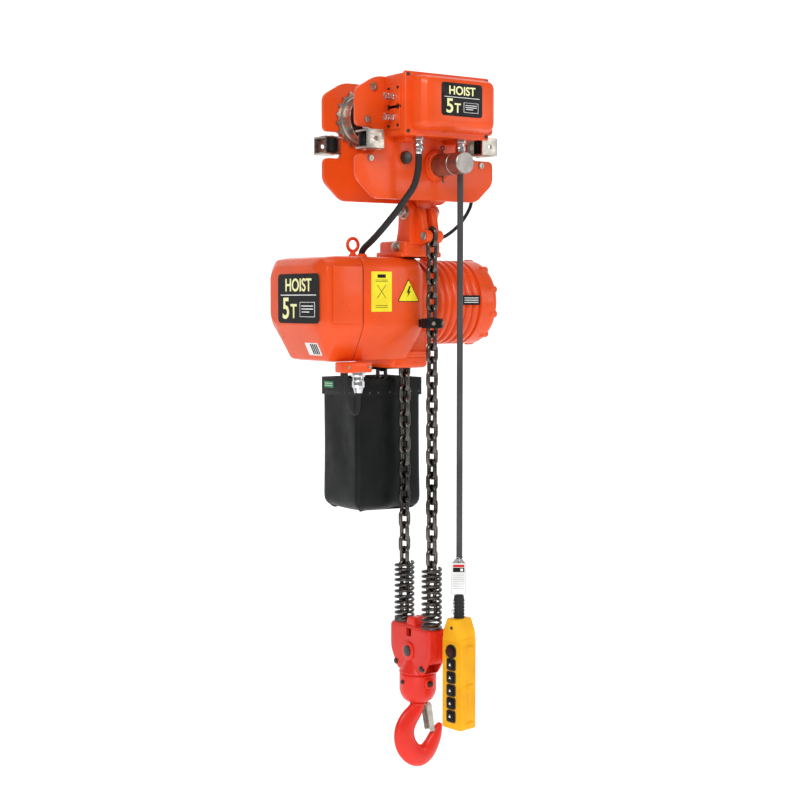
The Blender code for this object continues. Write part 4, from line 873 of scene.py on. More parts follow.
def hoist_casing():
    half = (COVER_HIGH.y - COVER_LOW.y) / 2
    top, bottom, left, seam = COVER_HIGH.z, COVER_LOW.z, COVER_LOW.x, COVER_HIGH.x
    sections = [
        (left, body_section(half - 0.026, top - 0.024, bottom + 0.096, 0.026, 0.030, 0.020)),
        (left + 0.018, body_section(half - 0.004, top - 0.006, bottom + 0.066, 0.024, 0.040, 0.030)),
        (left + 0.048, body_section(half, top - 0.001, bottom + 0.004, 0.022, 0.050, 0.080)),
        (left + 0.070, body_section(half, top, bottom, 0.022, 0.052, 0.090)),
        (seam, body_section(half, top, bottom, 0.022, 0.052, 0.090)),
    ]
    cover = bevelled(loft("cover", sections), 0.006, 4, 12)
    panels = []
    for sign in (-1, 1):
        face = BODY_Y + sign * half
        low, high = sorted((face - sign * 0.010, face + sign * 0.005))
        panels.append(box("panel", (left + 0.030, low, -0.468), (seam - 0.004, high, top - 0.024), 0.0045, 4))
    show(together(cover, *panels), "control_cover_body", "hoist", RED, ["control_cover"])
    right = 0.020
    sections = [
        (seam + 0.0008, body_section(half, top, bottom, 0.022, 0.052, 0.090)),
        (right - 0.070, body_section(half, top, bottom, 0.022, 0.052, 0.090)),
        (right - 0.040, body_section(half - 0.002, top, bottom, 0.024, 0.054, 0.090)),
        (right - 0.020, body_section(half - 0.009, top - 0.002, bottom + 0.004, 0.030, 0.060, 0.088)),
        (right - 0.007, body_section(half - 0.020, top - 0.007, bottom + 0.010, 0.034, 0.062, 0.084)),
        (right, body_section(half - 0.036, top - 0.016, bottom + 0.020, 0.036, 0.060, 0.076)),
    ]
    case = bevelled(loft("case", sections), 0.004, 3, 25)
    low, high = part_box("gear_case")
    chute = box("chute", (-0.064, 0.028, low.z), (0.055, 0.215, bottom + 0.085), 0.012, 4)
    step = box("step", (-0.026, 0.020, low.z + 0.030), (0.060, 0.220, low.z + 0.046), 0.005, 3)
    live_way = box("way", (-0.023, FALL_Y - 0.023, low.z - 0.02), (0.023, FALL_Y + 0.023, low.z + 0.08))
    slack_y = 2 * BODY_Y - FALL_Y
    slack_way = box("way", (-0.023, slack_y - 0.023, low.z - 0.02), (0.023, slack_y + 0.023, low.z + 0.08))
    chute = cut(chute, live_way, slack_way)
    neck = turned("neck", [
        (0, MOTOR_LOW.x), (0.117, MOTOR_LOW.x), (0.117, MOTOR_LOW.x - 0.010), (0.112, MOTOR_LOW.x - 0.014),
        (0.112, right + 0.016), (0.1165, right + 0.010), (0.1165, right - 0.02), (0, right - 0.02),
    ], (-0.0004, BODY_Y, BODY_Z), "X", 96)
    show(together(case, chute, step, neck), "gear_case_body", "hoist", RED, ["gear_case"])
    seam_band = loft("seam", [
        (seam - 0.0006, body_section(half - 0.0015, top - 0.0015, bottom + 0.0015, 0.022, 0.052, 0.090)),
        (seam + 0.0014, body_section(half - 0.0015, top - 0.0015, bottom + 0.0015, 0.022, 0.052, 0.090)),
    ])
    show(seam_band, "cover_gasket", "hoist", RUBBER)
    face_y = BODY_Y - half
    rating_plate(
        "cover_plate", "hoist", (0.205, 0.128), (left - 0.0002, BODY_Y - 0.026, -0.404), (0, -1, 0),
        (0, 0, 1)
    )
    slant_right, slant_up = (0, -1, 0), Vector((-0.030, 0, 0.062))
    place = Vector((left + 0.0345, BODY_Y - 0.045, bottom + 0.0335))
    sticker(
        "lower_plate", "hoist", LABEL_WHITE, (0.062, 0.036), place, slant_right, slant_up, 0.0016,
        0.002
    )
    for i in range(4):
        sticker(
            f"lower_plate_bar_{i}", "hoist", LABEL_BLACK, (0.006, 0.030), place,
            slant_right, slant_up, 0.0019, 0.0006, (-0.004 + 0.009 * i, 0)
        )
    instruction_label(face_y - 0.0002)
    warning_label(face_y - 0.0002)


def instruction_label(face_y):
    centre, right, up = (-0.1365, face_y, -0.386), (1, 0, 0), (0, 0, 1)
    sticker(
        "instruction_label", "hoist", LABEL_YELLOW, (0.064, 0.104), centre, right, up,
        0.0005, 0.002
    )
    sticker(
        "instruction_head", "hoist", LABEL_BLACK, (0.026, 0.009), centre, right, up,
        0.0007, 0.001, (0, 0.040)
    )
    for i, z in enumerate((0.030, 0.026, -0.036, -0.041)):
        sticker(
            f"instruction_line_{i}", "hoist", LABEL_BLACK, (0.038, 0.0012), centre, right,
            up, 0.0007, 0.0003, (0, z)
        )
    for i, turn in enumerate((1, -1)):
        bar = slab(
            "bar", rounded([(-0.022, -0.0007), (0.022, -0.0007), (0.022, 0.0007), (-0.022, 0.0007)], 0.0003,
                1), "Z", 0, 0.0007 + 0.0001 * i
        )
        show(
            on_face(bar, centre, (0.62, 0, 0.78 * turn), (-0.78 * turn, 0, 0.62)), f"instruction_cross_{i}",
            "hoist", LABEL_BLACK
        )


def warning_label(face_y):
    """A plain yellow warning triangle with a generic flash."""
    centre, right, up = (-0.051, face_y, -0.388), (1, 0, 0), (0, 0, 1)
    for i, (size, tone) in enumerate(((0.040, LABEL_BLACK), (0.0365, LABEL_YELLOW))):
        outline = rounded(
            [(size * cos(a), size * sin(a) - 0.004) for a in (pi / 2, pi * 7 / 6, pi * 11 / 6)], 0.004, 3
        )
        film = slab("film", outline, "Z", 0, 0.0005 + 0.0002 * i)
        show(
            on_face(film, centre, right, up), f"warning_triangle_{i}", "hoist", tone,
        )
    flash = [
        (0.002, 0.017), (-0.006, -0.001), (-0.0007, 0.0), (-0.004, -0.012), (0.007, 0.004),
        (0.0014, 0.0026), (0.007, 0.017)
    ]
    bolt = slab("flash", flash, "Z", 0, 0.0010)
    show(on_face(bolt, centre, right, up), "warning_flash", "hoist", LABEL_BLACK)


def hoist_motor():
    left, right, r = MOTOR_LOW.x, MOTOR_HIGH.x, (MOTOR_HIGH.y - MOTOR_LOW.y) / 2
    ribs, count = [], 6
    pitch = (right - left - 0.028) / count
    for i in range(count):
        x = left + 0.008 + i * pitch
        ribs += [
            (r - 0.008, x), (r - 0.002, x + pitch * 0.18), (r, x + pitch * 0.30), (r, x + pitch * 0.62),
            (r - 0.002, x + pitch * 0.74), (r - 0.008, x + pitch * 0.92)
        ]
    profile = [
        (0.064, right), (r, right), (r, right - 0.018), (r - 0.008, right - 0.021), *reversed(ribs),
        (r - 0.008, left + 0.006), (r - 0.002, left + 0.004), (r - 0.002, left), (0.064, left),
    ]
    frame_piece = turned("motor", profile, (0, BODY_Y, BODY_Z), "X", 96, closed=True)
    x, y = MOTOR_LEAD_ROUTE[-1][:2]
    boss = cylinder("boss", (x, y, BODY_Z + r - 0.020), "Z", 0.018, 0.030, 0.002, 40)
    show(together(frame_piece, boss), "motor_housing_body", "hoist", RED, ["motor_housing"])
    gland("motor_lead_gland", (x, y, BODY_Z + r + 0.009), "Z", "hoist", scale=0.62, cable=0.0045)
    left, right = CAP_LOW.x, CAP_HIGH.x
    shoulder = (right - left) * 0.40
    curve = [
        (r - 0.022 + 0.022 * cos(a), right - 0.026 + 0.020 * sin(a))
        for a in [radians(d) for d in range(75, -1, -15)]
    ]
    profile = [
        (0, right), (0.030, right), (0.060, right - 0.002), *curve, (r, left + shoulder), (r, left),
        (0.100, left), (0.100, right - 0.030), (0, right - 0.012)
    ]
    cap = turned("cap", profile, (0, BODY_Y, BODY_Z), "X", 96)
    bumps = []
    for i in range(10):
        angle = i * pi / 5 + 0.3
        place = (left + 0.012, BODY_Y + (r - 0.007) * cos(angle), BODY_Z + (r - 0.007) * sin(angle))
        bumps.append(cylinder("bump", place, "X", 0.0105, 0.026, 0.003, 24))
    pin = cylinder("pin", (right - 0.001, BODY_Y, BODY_Z), "X", 0.0045, 0.007, 0.001, 24)
    show(together(cap, *bumps, pin), "motor_end_cap_body", "hoist", RED, ["motor_end_cap"], angle=35)
    for i in range(10):
        angle = i * pi / 5 + 0.3
        place = (left + 0.0375, BODY_Y + (r - 0.007) * cos(angle), BODY_Z + (r - 0.007) * sin(angle))
        cap_screw(f"cap_screw_{i}", place, "X", 0.0055, 0.003, "hoist", STEEL)
    sticker(
        "motor_plate", "hoist", LABEL_BLACK, (0.060, 0.026),
        (MOTOR_HIGH.x - 0.056, BODY_Y - r - 0.0012, BODY_Z + 0.006), (1, 0, 0), (0, 0, 1), 0.0008, 0.002
    )
    for i in range(3):
        sticker(
            f"motor_plate_line_{i}", "hoist", LABEL_WHITE, (0.048, 0.0022),
            (MOTOR_HIGH.x - 0.056, BODY_Y - r - 0.0012, BODY_Z + 0.006), (1, 0, 0), (0, 0, 1), 0.0010,
            0.0005, (0, 0.006 - 0.006 * i)
        )


def hoist_fittings():
    low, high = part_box("chain_guide")
    c = middle("chain_guide")
    ring = slab(
        "ring", arc((0, -FALL_Y), 0.029, 0, 352.5, 47), "Z", low.z, high.z, 0.003, 3,
        [arc((0, -FALL_Y), 0.0222, 0, 352.5, 47)]
    )
    lug = box("lug", (-0.020, -FALL_Y + 0.022, low.z + 0.002), (0.020, high.y, high.z - 0.002), 0.003)
    show(together(ring, lug), "chain_guide_body", "hoist", PLASTIC, ["chain_guide"])
    for i, x in enumerate((-0.024, 0.024)):
        cap_screw(
            f"chain_guide_screw_{i}", (x * 0.6, -FALL_Y - 0.0245, c.z), "-Y", 0.005, 0.004, "hoist", STEEL
        )
    low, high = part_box("limit_switch")
    top = high.z
    block = box("block", (low.x, low.y, top - 0.027), (high.x, high.y, top), 0.004)
    show(block, "limit_switch_body", "hoist", RED, ["limit_switch"])
    x, y, z = LIMIT_CABLE_ROUTE[-1]
    gland("limit_gland", (x, y, top - 0.026), "-Z", "hoist", scale=(top - 0.0265 - z) / 0.0445, cable=0.0055)
    for i, x in enumerate((low.x + 0.010, high.x - 0.010)):
        cap_screw(f"limit_screw_{i}", (x, low.y, top - 0.013), "-Y", 0.004, 0.003, "hoist", STEEL)
    low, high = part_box("eye_bolt")
    c = middle("eye_bolt")
    r = (high.x - low.x) / 2 - 0.0045
    z = high.z - r - 0.0045
    ring = tube(
        "ring", [(c.x + r * cos(a), c.y, z + r * sin(a)) for a in [i * pi / 24 for i in range(48)]], 0.0045,
        8, True
    )
    collar = turned(
        "collar", [(0, low.z + 0.016), (0.006, low.z + 0.016), (0.008, low.z + 0.010),
            (0.012, low.z + 0.006), (0.012, low.z), (0, low.z)], (c.x, c.y, 0), "Z", 40
    )
    show(together(ring, collar), "eye_bolt_body", "hoist", RED, ["eye_bolt"])
    grommet = turned(
        "grommet", [(0, -0.2860), (0.010, -0.2860), (0.0135, -0.2905), (0.0145, -0.2945), (0, -0.2945)],
        (LEAD_END[0], LEAD_END[1], -0.0004), "Z", 40
    )
    show(grommet, "hoist_lead_grommet", "hoist", RED)


# ---------- chain bag ----------

def chain_bag():
    """A coated fabric bag that sags with the weight of its chain, under a stiff rim band."""
    low, high = BAG_LOW.copy(), Vector((BAG_HIGH.x, BAG_HIGH.y, -0.619))
    low.x, low.y, high.x, high.y = low.x + 0.004, low.y + 0.004, high.x - 0.004, high.y - 0.004
    work = bmesh.new()
    bmesh.ops.create_cube(work, size=1.0)
    bmesh.ops.scale(work, vec=high - low, verts=work.verts)
    bmesh.ops.translate(work, vec=(high + low) / 2, verts=work.verts)
    bmesh.ops.delete(work, geom=[f for f in work.faces if f.normal.z > 0.5], context="FACES")
    uprights = [e for e in work.edges if abs(e.verts[0].co.z - e.verts[1].co.z) > 0.1]
    bmesh.ops.bevel(work, geom=uprights, offset=0.014, segments=3, profile=0.5, affect="EDGES")
    bottom = [
        e for e in work.edges if all(v.co.z < low.z + 0.001 for v in e.verts) and len(e.link_faces) == 2
    ]
    bmesh.ops.bevel(work, geom=bottom, offset=0.030, segments=4, profile=0.5, affect="EDGES")
    bmesh.ops.subdivide_edges(
        work, edges=[e for e in work.edges if e.calc_length() > 0.05], cuts=14, use_grid_fill=True
    )
    bmesh.ops.triangulate(work, faces=[f for f in work.faces if len(f.verts) > 4])
    centre = (high + low) / 2
    for vert in work.verts:
        depth = (high.z - vert.co.z) / (high.z - low.z)
        out = Vector((vert.co.x - centre.x, vert.co.y - centre.y))
        swell = 0.012 * max(0.0, depth - 0.45) * (1 - depth) * 4
        pucker = 0.0032 * depth * sin(58 * vert.co.x + 9 * vert.co.z) * cos(47 * vert.co.y - 14 * vert.co.z)
        pinch = -0.010 * max(0.0, depth - 0.1) * (1 - depth) ** 2
        crease = -0.0045 * max(
            0.0, 1 - abs(vert.co.x + 0.052 + 0.05 * (depth - 0.5)) / 0.012
        ) * sin(pi * depth)
        shift = out.normalized() * (swell * 0.35 + pucker + pinch + crease)
        vert.co.x += shift.x
        vert.co.y += shift.y
        if vert.co.z < low.z + 0.002:
            vert.co.z += 0.0025 * sin(31 * vert.co.x) * cos(37 * vert.co.y)
        vert.co.x = min(max(vert.co.x, BAG_LOW.x - 0.003), BAG_HIGH.x + 0.003)
        vert.co.y = min(max(vert.co.y, BAG_LOW.y + 0.001), BAG_HIGH.y + 0.003)
    bag = from_bmesh("bag", work)
    solid = bag.modifiers.new("thickness", "SOLIDIFY")
    solid.thickness = 0.0025
    solid.offset = -1
    detail = bag.modifiers.new("smooth", "SUBSURF")
    detail.levels = 1
    detail.render_levels = 1
    bag = baked(bag)
    show(bag, "chain_bag_fabric", "hoist", FABRIC, ["chain_bag"], angle=60)
    band_top = high.z
    outline = [
        (low.x - 0.003, low.y - 0.003), (high.x + 0.003, low.y - 0.003), (high.x + 0.003, high.y + 0.003),
        (low.x - 0.003, high.y + 0.003)
    ]
    inner = [
        (low.x + 0.001, low.y + 0.001), (high.x - 0.001, low.y + 0.001), (high.x - 0.001, high.y - 0.001),
        (low.x + 0.001, high.y - 0.001)
    ]
    band = slab(
        "band", rounded(outline, 0.010, 4), "Z", band_top - 0.048, band_top, 0.0012, 2,
        [rounded(inner, 0.008, 4)]
    )
    show(band, "chain_bag_rim", "hoist", FABRIC, angle=40)
    for i, share in enumerate((0.05, 0.18, 0.31, 0.50, 0.69, 0.82, 0.95)):
        x = low.x + (high.x - low.x) * share
        rivet(f"bag_rivet_front_{i}", (x, low.y - 0.003, band_top - 0.038), "-Y")
        y = low.y + (high.y - low.y) * share
        rivet(f"bag_rivet_left_{i}", (low.x - 0.003, y, band_top - 0.038), "-X")
        rivet(f"bag_rivet_right_{i}", (high.x + 0.003, y, band_top - 0.038), "X")
    sticker(
        "bag_label", "hoist", LABEL_GREEN, (0.046, 0.017),
        (low.x - 0.0031, high.y - 0.040, band_top - 0.020), (0, -1, 0), (0, 0, 1), 0.0005, 0.001
    )
    for i in range(2):
        sticker(
            f"bag_label_line_{i}", "hoist", LABEL_WHITE, (0.036, 0.002),
            (low.x - 0.0031, high.y - 0.040, band_top - 0.020), (0, -1, 0), (0, 0, 1), 0.0007, 0.0003,
            (0, 0.003 - 0.006 * i)
        )
    slack_y = 2 * BODY_Y - FALL_Y
    for i, x in enumerate((low.x + 0.002, high.x - 0.005)):
        strap = box(
            "strap", (x, slack_y - 0.014, band_top - 0.030), (x + 0.003, slack_y + 0.014, -0.592), 0.001
        )
        show(strap, f"bag_strap_{i}", "hoist", PLASTIC)
    bar = box(
        "bar", (low.x + 0.002, slack_y - 0.030, -0.597), (high.x - 0.002, slack_y - 0.026, -0.5905), 0.001
    )
    show(bar, "bag_hanger_bar", "hoist", PLASTIC)
    dress("stored_chain", CHAIN_STEEL)
    heap_links()


def rivet(name, place, axis):
    cap = turned("rivet", [(0, 0.0018), (0.0022, 0.0014), (0.0034, 0.0), (0, 0.0)], (0, 0, 0), "Z", 20)
    show(pointed(cap, place, axis), name, "hoist", SPRING_STEEL)


def heap_links():
    """Slack links on top of the stored chain, seen from above, and the run that drops from the body."""
    low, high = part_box("stored_chain")
    links = []
    for i in range(30):
        x = low.x + 0.022 + (high.x - low.x - 0.044) * ((i * 0.381966) % 1.0)
        y = low.y + 0.022 + (high.y - low.y - 0.044) * ((i * 0.618034 + 0.13) % 1.0)
        turn = Matrix.Rotation(i * 2.4, 4, "Z") @ Matrix.Rotation(radians(78 + 20 * sin(i)), 4, "X")
        link = link_shape()
        link.matrix_world = Matrix.Translation((x, y, high.z + 0.006 + 0.003 * sin(3 * i))) @ turn
        links.append(baked(link))
    show(together(*links), "stored_chain_links", "hoist", CHAIN_STEEL)
    slack_y = 2 * BODY_Y - FALL_Y
    chain_run("slack_run", slack_y, -0.560, 8, "hoist", ())


# ---------- chain ----------

def link_shape():
    """One oval link of round wire, its long way along Z, in the XZ plane."""
    reach = (CHAIN_WIDTH - CHAIN_WIRE) / 2
    straight = CHAIN_PITCH / 2 + CHAIN_WIRE / 2 - reach
    points = arc((0, straight), reach, 0, 180, 12) + arc((0, -straight), reach, 180, 360, 12)
    return tube("link", [(x, 0, z) for x, z in points], CHAIN_WIRE / 2, 4, True)


def chain_run(name, y, top, count, body, replaced, first=0):
    """A straight run of links down from top. The odd ones stand across the even ones."""
    links = []
    for i in range(count):
        link = link_shape()
        turn = Matrix.Rotation(pi / 2 if (i + first) % 2 == 0 else 0.0, 4, "Z")
        link.matrix_world = Matrix.Translation((0, y, top - (i + 0.5) * CHAIN_PITCH)) @ turn
        links.append(baked(link))
    return show(together(*links), name, body, CHAIN_STEEL, replaced, angle=60)


def chain_falls():
    """Each fall is two runs: one stays with the hoist, and one rides with the block and slides up among it.
    The lift's limits are whole pairs of links, so that the two runs fall on each other there."""
    for name, y, top in (
        ("live_chain", FALL_Y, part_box("live_chain")[1].z),
        ("anchor_chain", -FALL_Y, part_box("anchor_chain")[1].z)
    ):
        top = round(top - 0.0037, 4)
        count = int((top - BLOCK_HIGH.z + 0.020) / CHAIN_PITCH)
        up = round(LIFT_UP / CHAIN_PITCH)
        down = round(-LIFT_DOWN / CHAIN_PITCH)
        upper = count - up
        chain_run(f"{name}_upper", y, top, upper, "hoist", [name])
        first = upper - down
        chain_run(f"{name}_lower", y, top - first * CHAIN_PITCH, count - first, "hook_block", (), first)


# ---------- hook block ----------

def chain_springs():
    for name, y in (("chain_spring_live", FALL_Y), ("chain_spring_anchor", -FALL_Y)):
        low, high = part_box(name)
        wire, turns, steps = 0.0037, 11, 28
        radius = (high.x - low.x) / 2 - wire
        height = high.z - low.z - 2 * wire
        points = []
        for i in range(turns * steps + 1):
            share = i / (turns * steps)
            tight = share - 0.018 * sin(2 * pi * share)
            angle = 2 * pi * i / steps
            points.append((radius * cos(angle), y + radius * sin(angle), low.z + wire + height * tight))
        show(tube("spring", points, wire, 4), f"{name}_coil", "hook_block", SPRING_STEEL, [name], angle=70)
        seat = turned(
            "seat", [(0.019, low.z + 0.004), (0.0275, low.z + 0.004), (0.0275, low.z - 0.001),
                (0.019, low.z - 0.001)], (0, y, 0), "Z", 48, True
        )
        show(seat, f"{name}_seat", "hook_block", SPRING_STEEL)


def block_shells():
    half_t, half_w = BLOCK_HIGH.x, BLOCK_HIGH.y
    top = BLOCK_HIGH.z - 0.022
    neck = HOLDER_HIGH.z
    sheave = middle("bottom_sheave")
    waist = 0.052
    outline = rounded([
        (-half_w, top), (-half_w, top - 0.075), (-waist - 0.012, neck + 0.012), (-waist, neck + 0.0005),
        (waist, neck + 0.0005), (waist + 0.012, neck + 0.012), (half_w, top - 0.075), (half_w, top),
    ], 0.014, 5)
    window = rounded(
        [(-0.011, top - 0.030), (0.011, top - 0.030), (0.011, top - 0.008), (-0.011, top - 0.008)], 0.003, 3
    )
    for name, sign in (("block_shell_left", -1), ("block_shell_right", 1)):
        start, end = sorted((sign * 0.0003, sign * half_t))
        shell = slab("shell", outline, "X", start, end, 0.0)
        shell = soften_outer(shell, sign, 0.021)
        cutter = box("cutter", (-0.0205, -0.078, sheave.z - 0.060), (0.0205, 0.078, top - 0.006))
        wells = [cylinder("well", (0, y, top - 0.05), "Z", 0.0195, 0.1, 0, 32) for y in (-FALL_Y, FALL_Y)]
        see = slab("see", window, "X", -0.1, 0.1)
        shell = cut(shell, cutter, see, *wells)
        boss_start, boss_end = sorted((sign * (half_t - 0.001), sign * (half_t + 0.004)))
        boss = cylinder(
            "boss", (boss_start, 0, sheave.z - 0.006), "X", 0.026, boss_end - boss_start, 0.002, 48
        )
        crest = [(-0.022, top - 0.002), (0.022, top - 0.002), (0.014, top + 0.022), (-0.014, top + 0.022)]
        rib_start, rib_end = (start, end - 0.006) if sign > 0 else (start + 0.006, end)
        rib = slab("rib", rounded(crest, 0.006, 4), "X", rib_start, rib_end, 0.004, 3)
        show(together(shell, boss, rib), f"{name}_body", "hook_block", HOOK_RED, [name], angle=35)
        face = sign * (half_t + 0.004)
        pin_start = face - 0.001 if sign > 0 else face - 0.003
        pin = cylinder("pin", (pin_start, 0, sheave.z - 0.006), "X", 0.0145, 0.004, 0.0008, 40)
        show(pin, f"sheave_pin_end_{'right' if sign > 0 else 'left'}", "hook_block", SPRING_STEEL)
    for i, y in enumerate((-0.058, 0.058)):
        hex_bolt(
            f"block_bolt_{i}", (-half_t + 0.003, y, neck + 0.022), "-X", 0.0085, 0.006, "hook_block",
            SPRING_STEEL, 0.4 * i
        )
    skirt = turned("skirt", [
        (0.022, neck + 0.0006), (0.0505, neck + 0.0006), (0.0510, neck + 0.004), (0.0455, neck + 0.014),
        (0.0370, neck + 0.030), (0.0300, neck + 0.046), (0.022, neck + 0.046),
    ], (0, 0, 0), "Z", 80, closed=True)
    show(skirt, "block_skirt", "hook_block", HOOK_RED)
    sheave_wheel()


def soften_outer(obj, sign, width):
    """Rounds the outer edge of one half shell and leaves its parting edge sharp."""
    work = bmesh.new()
    work.from_mesh(obj.data)
    far = max(abs(v.co.x) for v in work.verts)
    edges = [e for e in work.edges if all(abs(abs(v.co.x) - far) < 1e-5 for v in e.verts)]
    bmesh.ops.bevel(
        work, geom=edges, offset=width, segments=5, profile=0.5, affect="EDGES", clamp_overlap=True
    )
    work.to_mesh(obj.data)
    work.free()
    return obj


def sheave_wheel():
    c = middle("bottom_sheave")
    low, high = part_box("bottom_sheave")
    r, h = (high.y - low.y) / 2 - 0.001, high.x
    profile = [
        (0.0105, h), (0.030, h), (r - 0.002, h - 0.002), (r, h - 0.005), (r, 0.010), (r - 0.015, 0.006),
        (r - 0.015, -0.006), (r, -0.010), (r, -h + 0.005), (r - 0.002, -h + 0.002), (0.030, -h),
        (0.0105, -h)
    ]
    body = turned("sheave", profile, (0, 0, c.z), "X", 64, closed=True)
    show(body, "bottom_sheave_body", "bottom_sheave", CHAIN_STEEL, ["bottom_sheave"])


def holder():
    top, bottom, r = HOLDER_HIGH.z, HOLDER_LOW.z, (HOLDER_HIGH.x - HOLDER_LOW.x) / 2
    profile = [
        (0.0215, top), (r - 0.004, top), (r, top - 0.005), (r, bottom + 0.034), (r - 0.003, bottom + 0.022),
        (r - 0.010, bottom + 0.009),
        (r - 0.020, bottom + 0.002), (r - 0.026, bottom), (0.0215, bottom),
    ]
    body = turned("holder", profile, (0, 0, 0), "Z", 80, closed=True)
    lobes = []
    for sign in (-1, 1):
        lobes.append(
            box("lobe", (-0.014, sign * 0.050 - 0.006, top - 0.036),
                (0.014, sign * 0.050 + 0.006, top - 0.010), 0.004)
        )
    show(together(body, *lobes), "hook_holder_body", "hook_block", HOOK_RED, ["hook_holder"], angle=35)
    hex_bolt("holder_bolt_front", (0, -0.0555, top - 0.023), "-Y", 0.0075, 0.006, "hook_block", SPRING_STEEL)
    hex_bolt("holder_bolt_back", (0, 0.0555, top - 0.023), "Y", 0.0075, 0.006, "hook_block", SPRING_STEEL)
    cap_screw("holder_screw", (-0.0495, 0, top - 0.022), "-X", 0.006, 0.004, "hook_block", SPRING_STEEL)


# ---------- hook ----------

def hook():
    """A forged hook: rounded sections swept along its spine, thick at the back and thin at the tip."""
    stations = [
        ((0.000, -1.487), 0.0185, 0.0185), ((-0.002, -1.502), 0.0200, 0.0180),
        ((-0.014, -1.519), 0.0245, 0.0175),
        ((-0.031, -1.537), 0.0285, 0.0175), ((-0.0435, -1.560), 0.0310, 0.0180),
        ((-0.0450, -1.586), 0.0318, 0.0185),
        ((-0.0350, -1.613), 0.0315, 0.0190), ((-0.0150, -1.634), 0.0305, 0.0190),
        ((0.0090, -1.6425), 0.0300, 0.0185),
        ((0.0310, -1.634), 0.0270, 0.0175), ((0.0465, -1.616), 0.0235, 0.0160),
        ((0.0575, -1.597), 0.0205, 0.0145),
        ((0.0665, -1.580), 0.0150, 0.0125), ((0.0725, -1.569), 0.0090, 0.0100),
        ((0.0755, -1.563), 0.0040, 0.0060),
    ]
    count = 24
    work = bmesh.new()
    rings = []
    fine = flowing_values(stations, 3)
    for i, (place, wide, thick) in enumerate(fine):
        before = fine[max(i - 1, 0)][0]
        after = fine[min(i + 1, len(fine) - 1)][0]
        along = (after - before).normalized()
        across = along.cross(Vector((0, 1, 0))).normalized()
        ring = []
        for step in range(count):
            a = 2 * pi * step / count
            inward = cos(a)
            squeeze = 1.0 - 0.22 * max(0.0, -inward)
            ring.append(
                work.verts.new(place + across * wide * inward
                    + Vector((0, 1, 0)) * thick * sin(a) * squeeze)
            )
        rings.append(ring)
    for first, second in zip(rings, rings[1:]):
        for step in range(count):
            after = (step + 1) % count
            work.faces.new((first[step], first[after], second[after], second[step]))
    work.faces.new(rings[0])
    work.faces.new(reversed(rings[-1]))
    bmesh.ops.recalc_face_normals(work, faces=work.faces)
    body = from_bmesh("hook", work)
    shank_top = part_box("hook")[1].z
    shank = cylinder(
        "shank", (0, 0, HOLDER_LOW.z - 0.006), "Z", 0.0185, shank_top - HOLDER_LOW.z + 0.006, 0.001, 40
    )
    collar = cylinder("collar", (0, 0, HOLDER_LOW.z - 0.008), "Z", 0.0225, 0.007, 0.002, 48)
    show(together(body, shank, collar), "hook_body", "hook", HOOK_RED, ["hook"], angle=50)


def flowing_values(stations, between):
    """Places and half-widths along a Catmull-Rom line through the stations."""
    rows = [Vector((x, z, wide, thick)) for (x, z), wide, thick in stations]
    rows = [rows[0] * 2 - rows[1], *rows, rows[-1] * 2 - rows[-2]]
    line = []
    for a, b, c, d in zip(rows, rows[1:], rows[2:], rows[3:]):
        for step in range(between):
            t = step / between
            line.append(
                0.5 * (2 * b + (c - a) * t + (2 * a - 5 * b + 4 * c - d) * t ** 2
                    + (3 * b - a - 3 * c + d) * t ** 3)
            )
    line.append(rows[-2])
    return [(Vector((row[0], 0, row[1])), row[2], row[3]) for row in line]


def latch():
    outline = [
        (0.0240, -1.4975), (0.0310, -1.4965), (0.0345, -1.5000), (0.0470, -1.5790), (0.0435, -1.5800),
        (0.0300, -1.5085), (0.0240, -1.5050),
    ]
    web = slab("latch", rounded(outline, 0.0015, 3), "Y", -0.0130, 0.0130, 0.0012, 2)
    cheeks = []
    for y in (-0.0150, 0.0132):
        cheek = [
            (0.0215, -1.4960), (0.0320, -1.4960), (0.0360, -1.5040), (0.0468, -1.5775), (0.0330, -1.5785),
            (0.0215, -1.5150)
        ]
        cheeks.append(slab("cheek", rounded(cheek, 0.003, 3), "Y", y, y + 0.0018, 0.0004, 1))
    pin = cylinder("pin", (0.028, -0.0165, -1.502), "Y", 0.0028, 0.033, 0.0005, 20)
    show(together(web, *cheeks, pin), "hook_latch_body", "hook_latch", STEEL, ["hook_latch"])


# ---------- pendant ----------

PENDANT = middle("pendant_cable")
PENDANT_LOW, PENDANT_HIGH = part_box("pendant_housing")
PENDANT_TOP = PENDANT_HIGH.z - 0.060
STOP_Z = middle("stop_button").z
BUTTON_PITCH = STOP_Z - middle("up_button").z
PENDANT_TURN = radians(-82)
PENDANT_FRAME = Matrix.Translation((PENDANT.x, PENDANT.y, 0)) @ Matrix.Rotation(PENDANT_TURN, 4, "Z")


def to_pendant(obj):
    obj.matrix_world = PENDANT_FRAME
    return baked(obj)


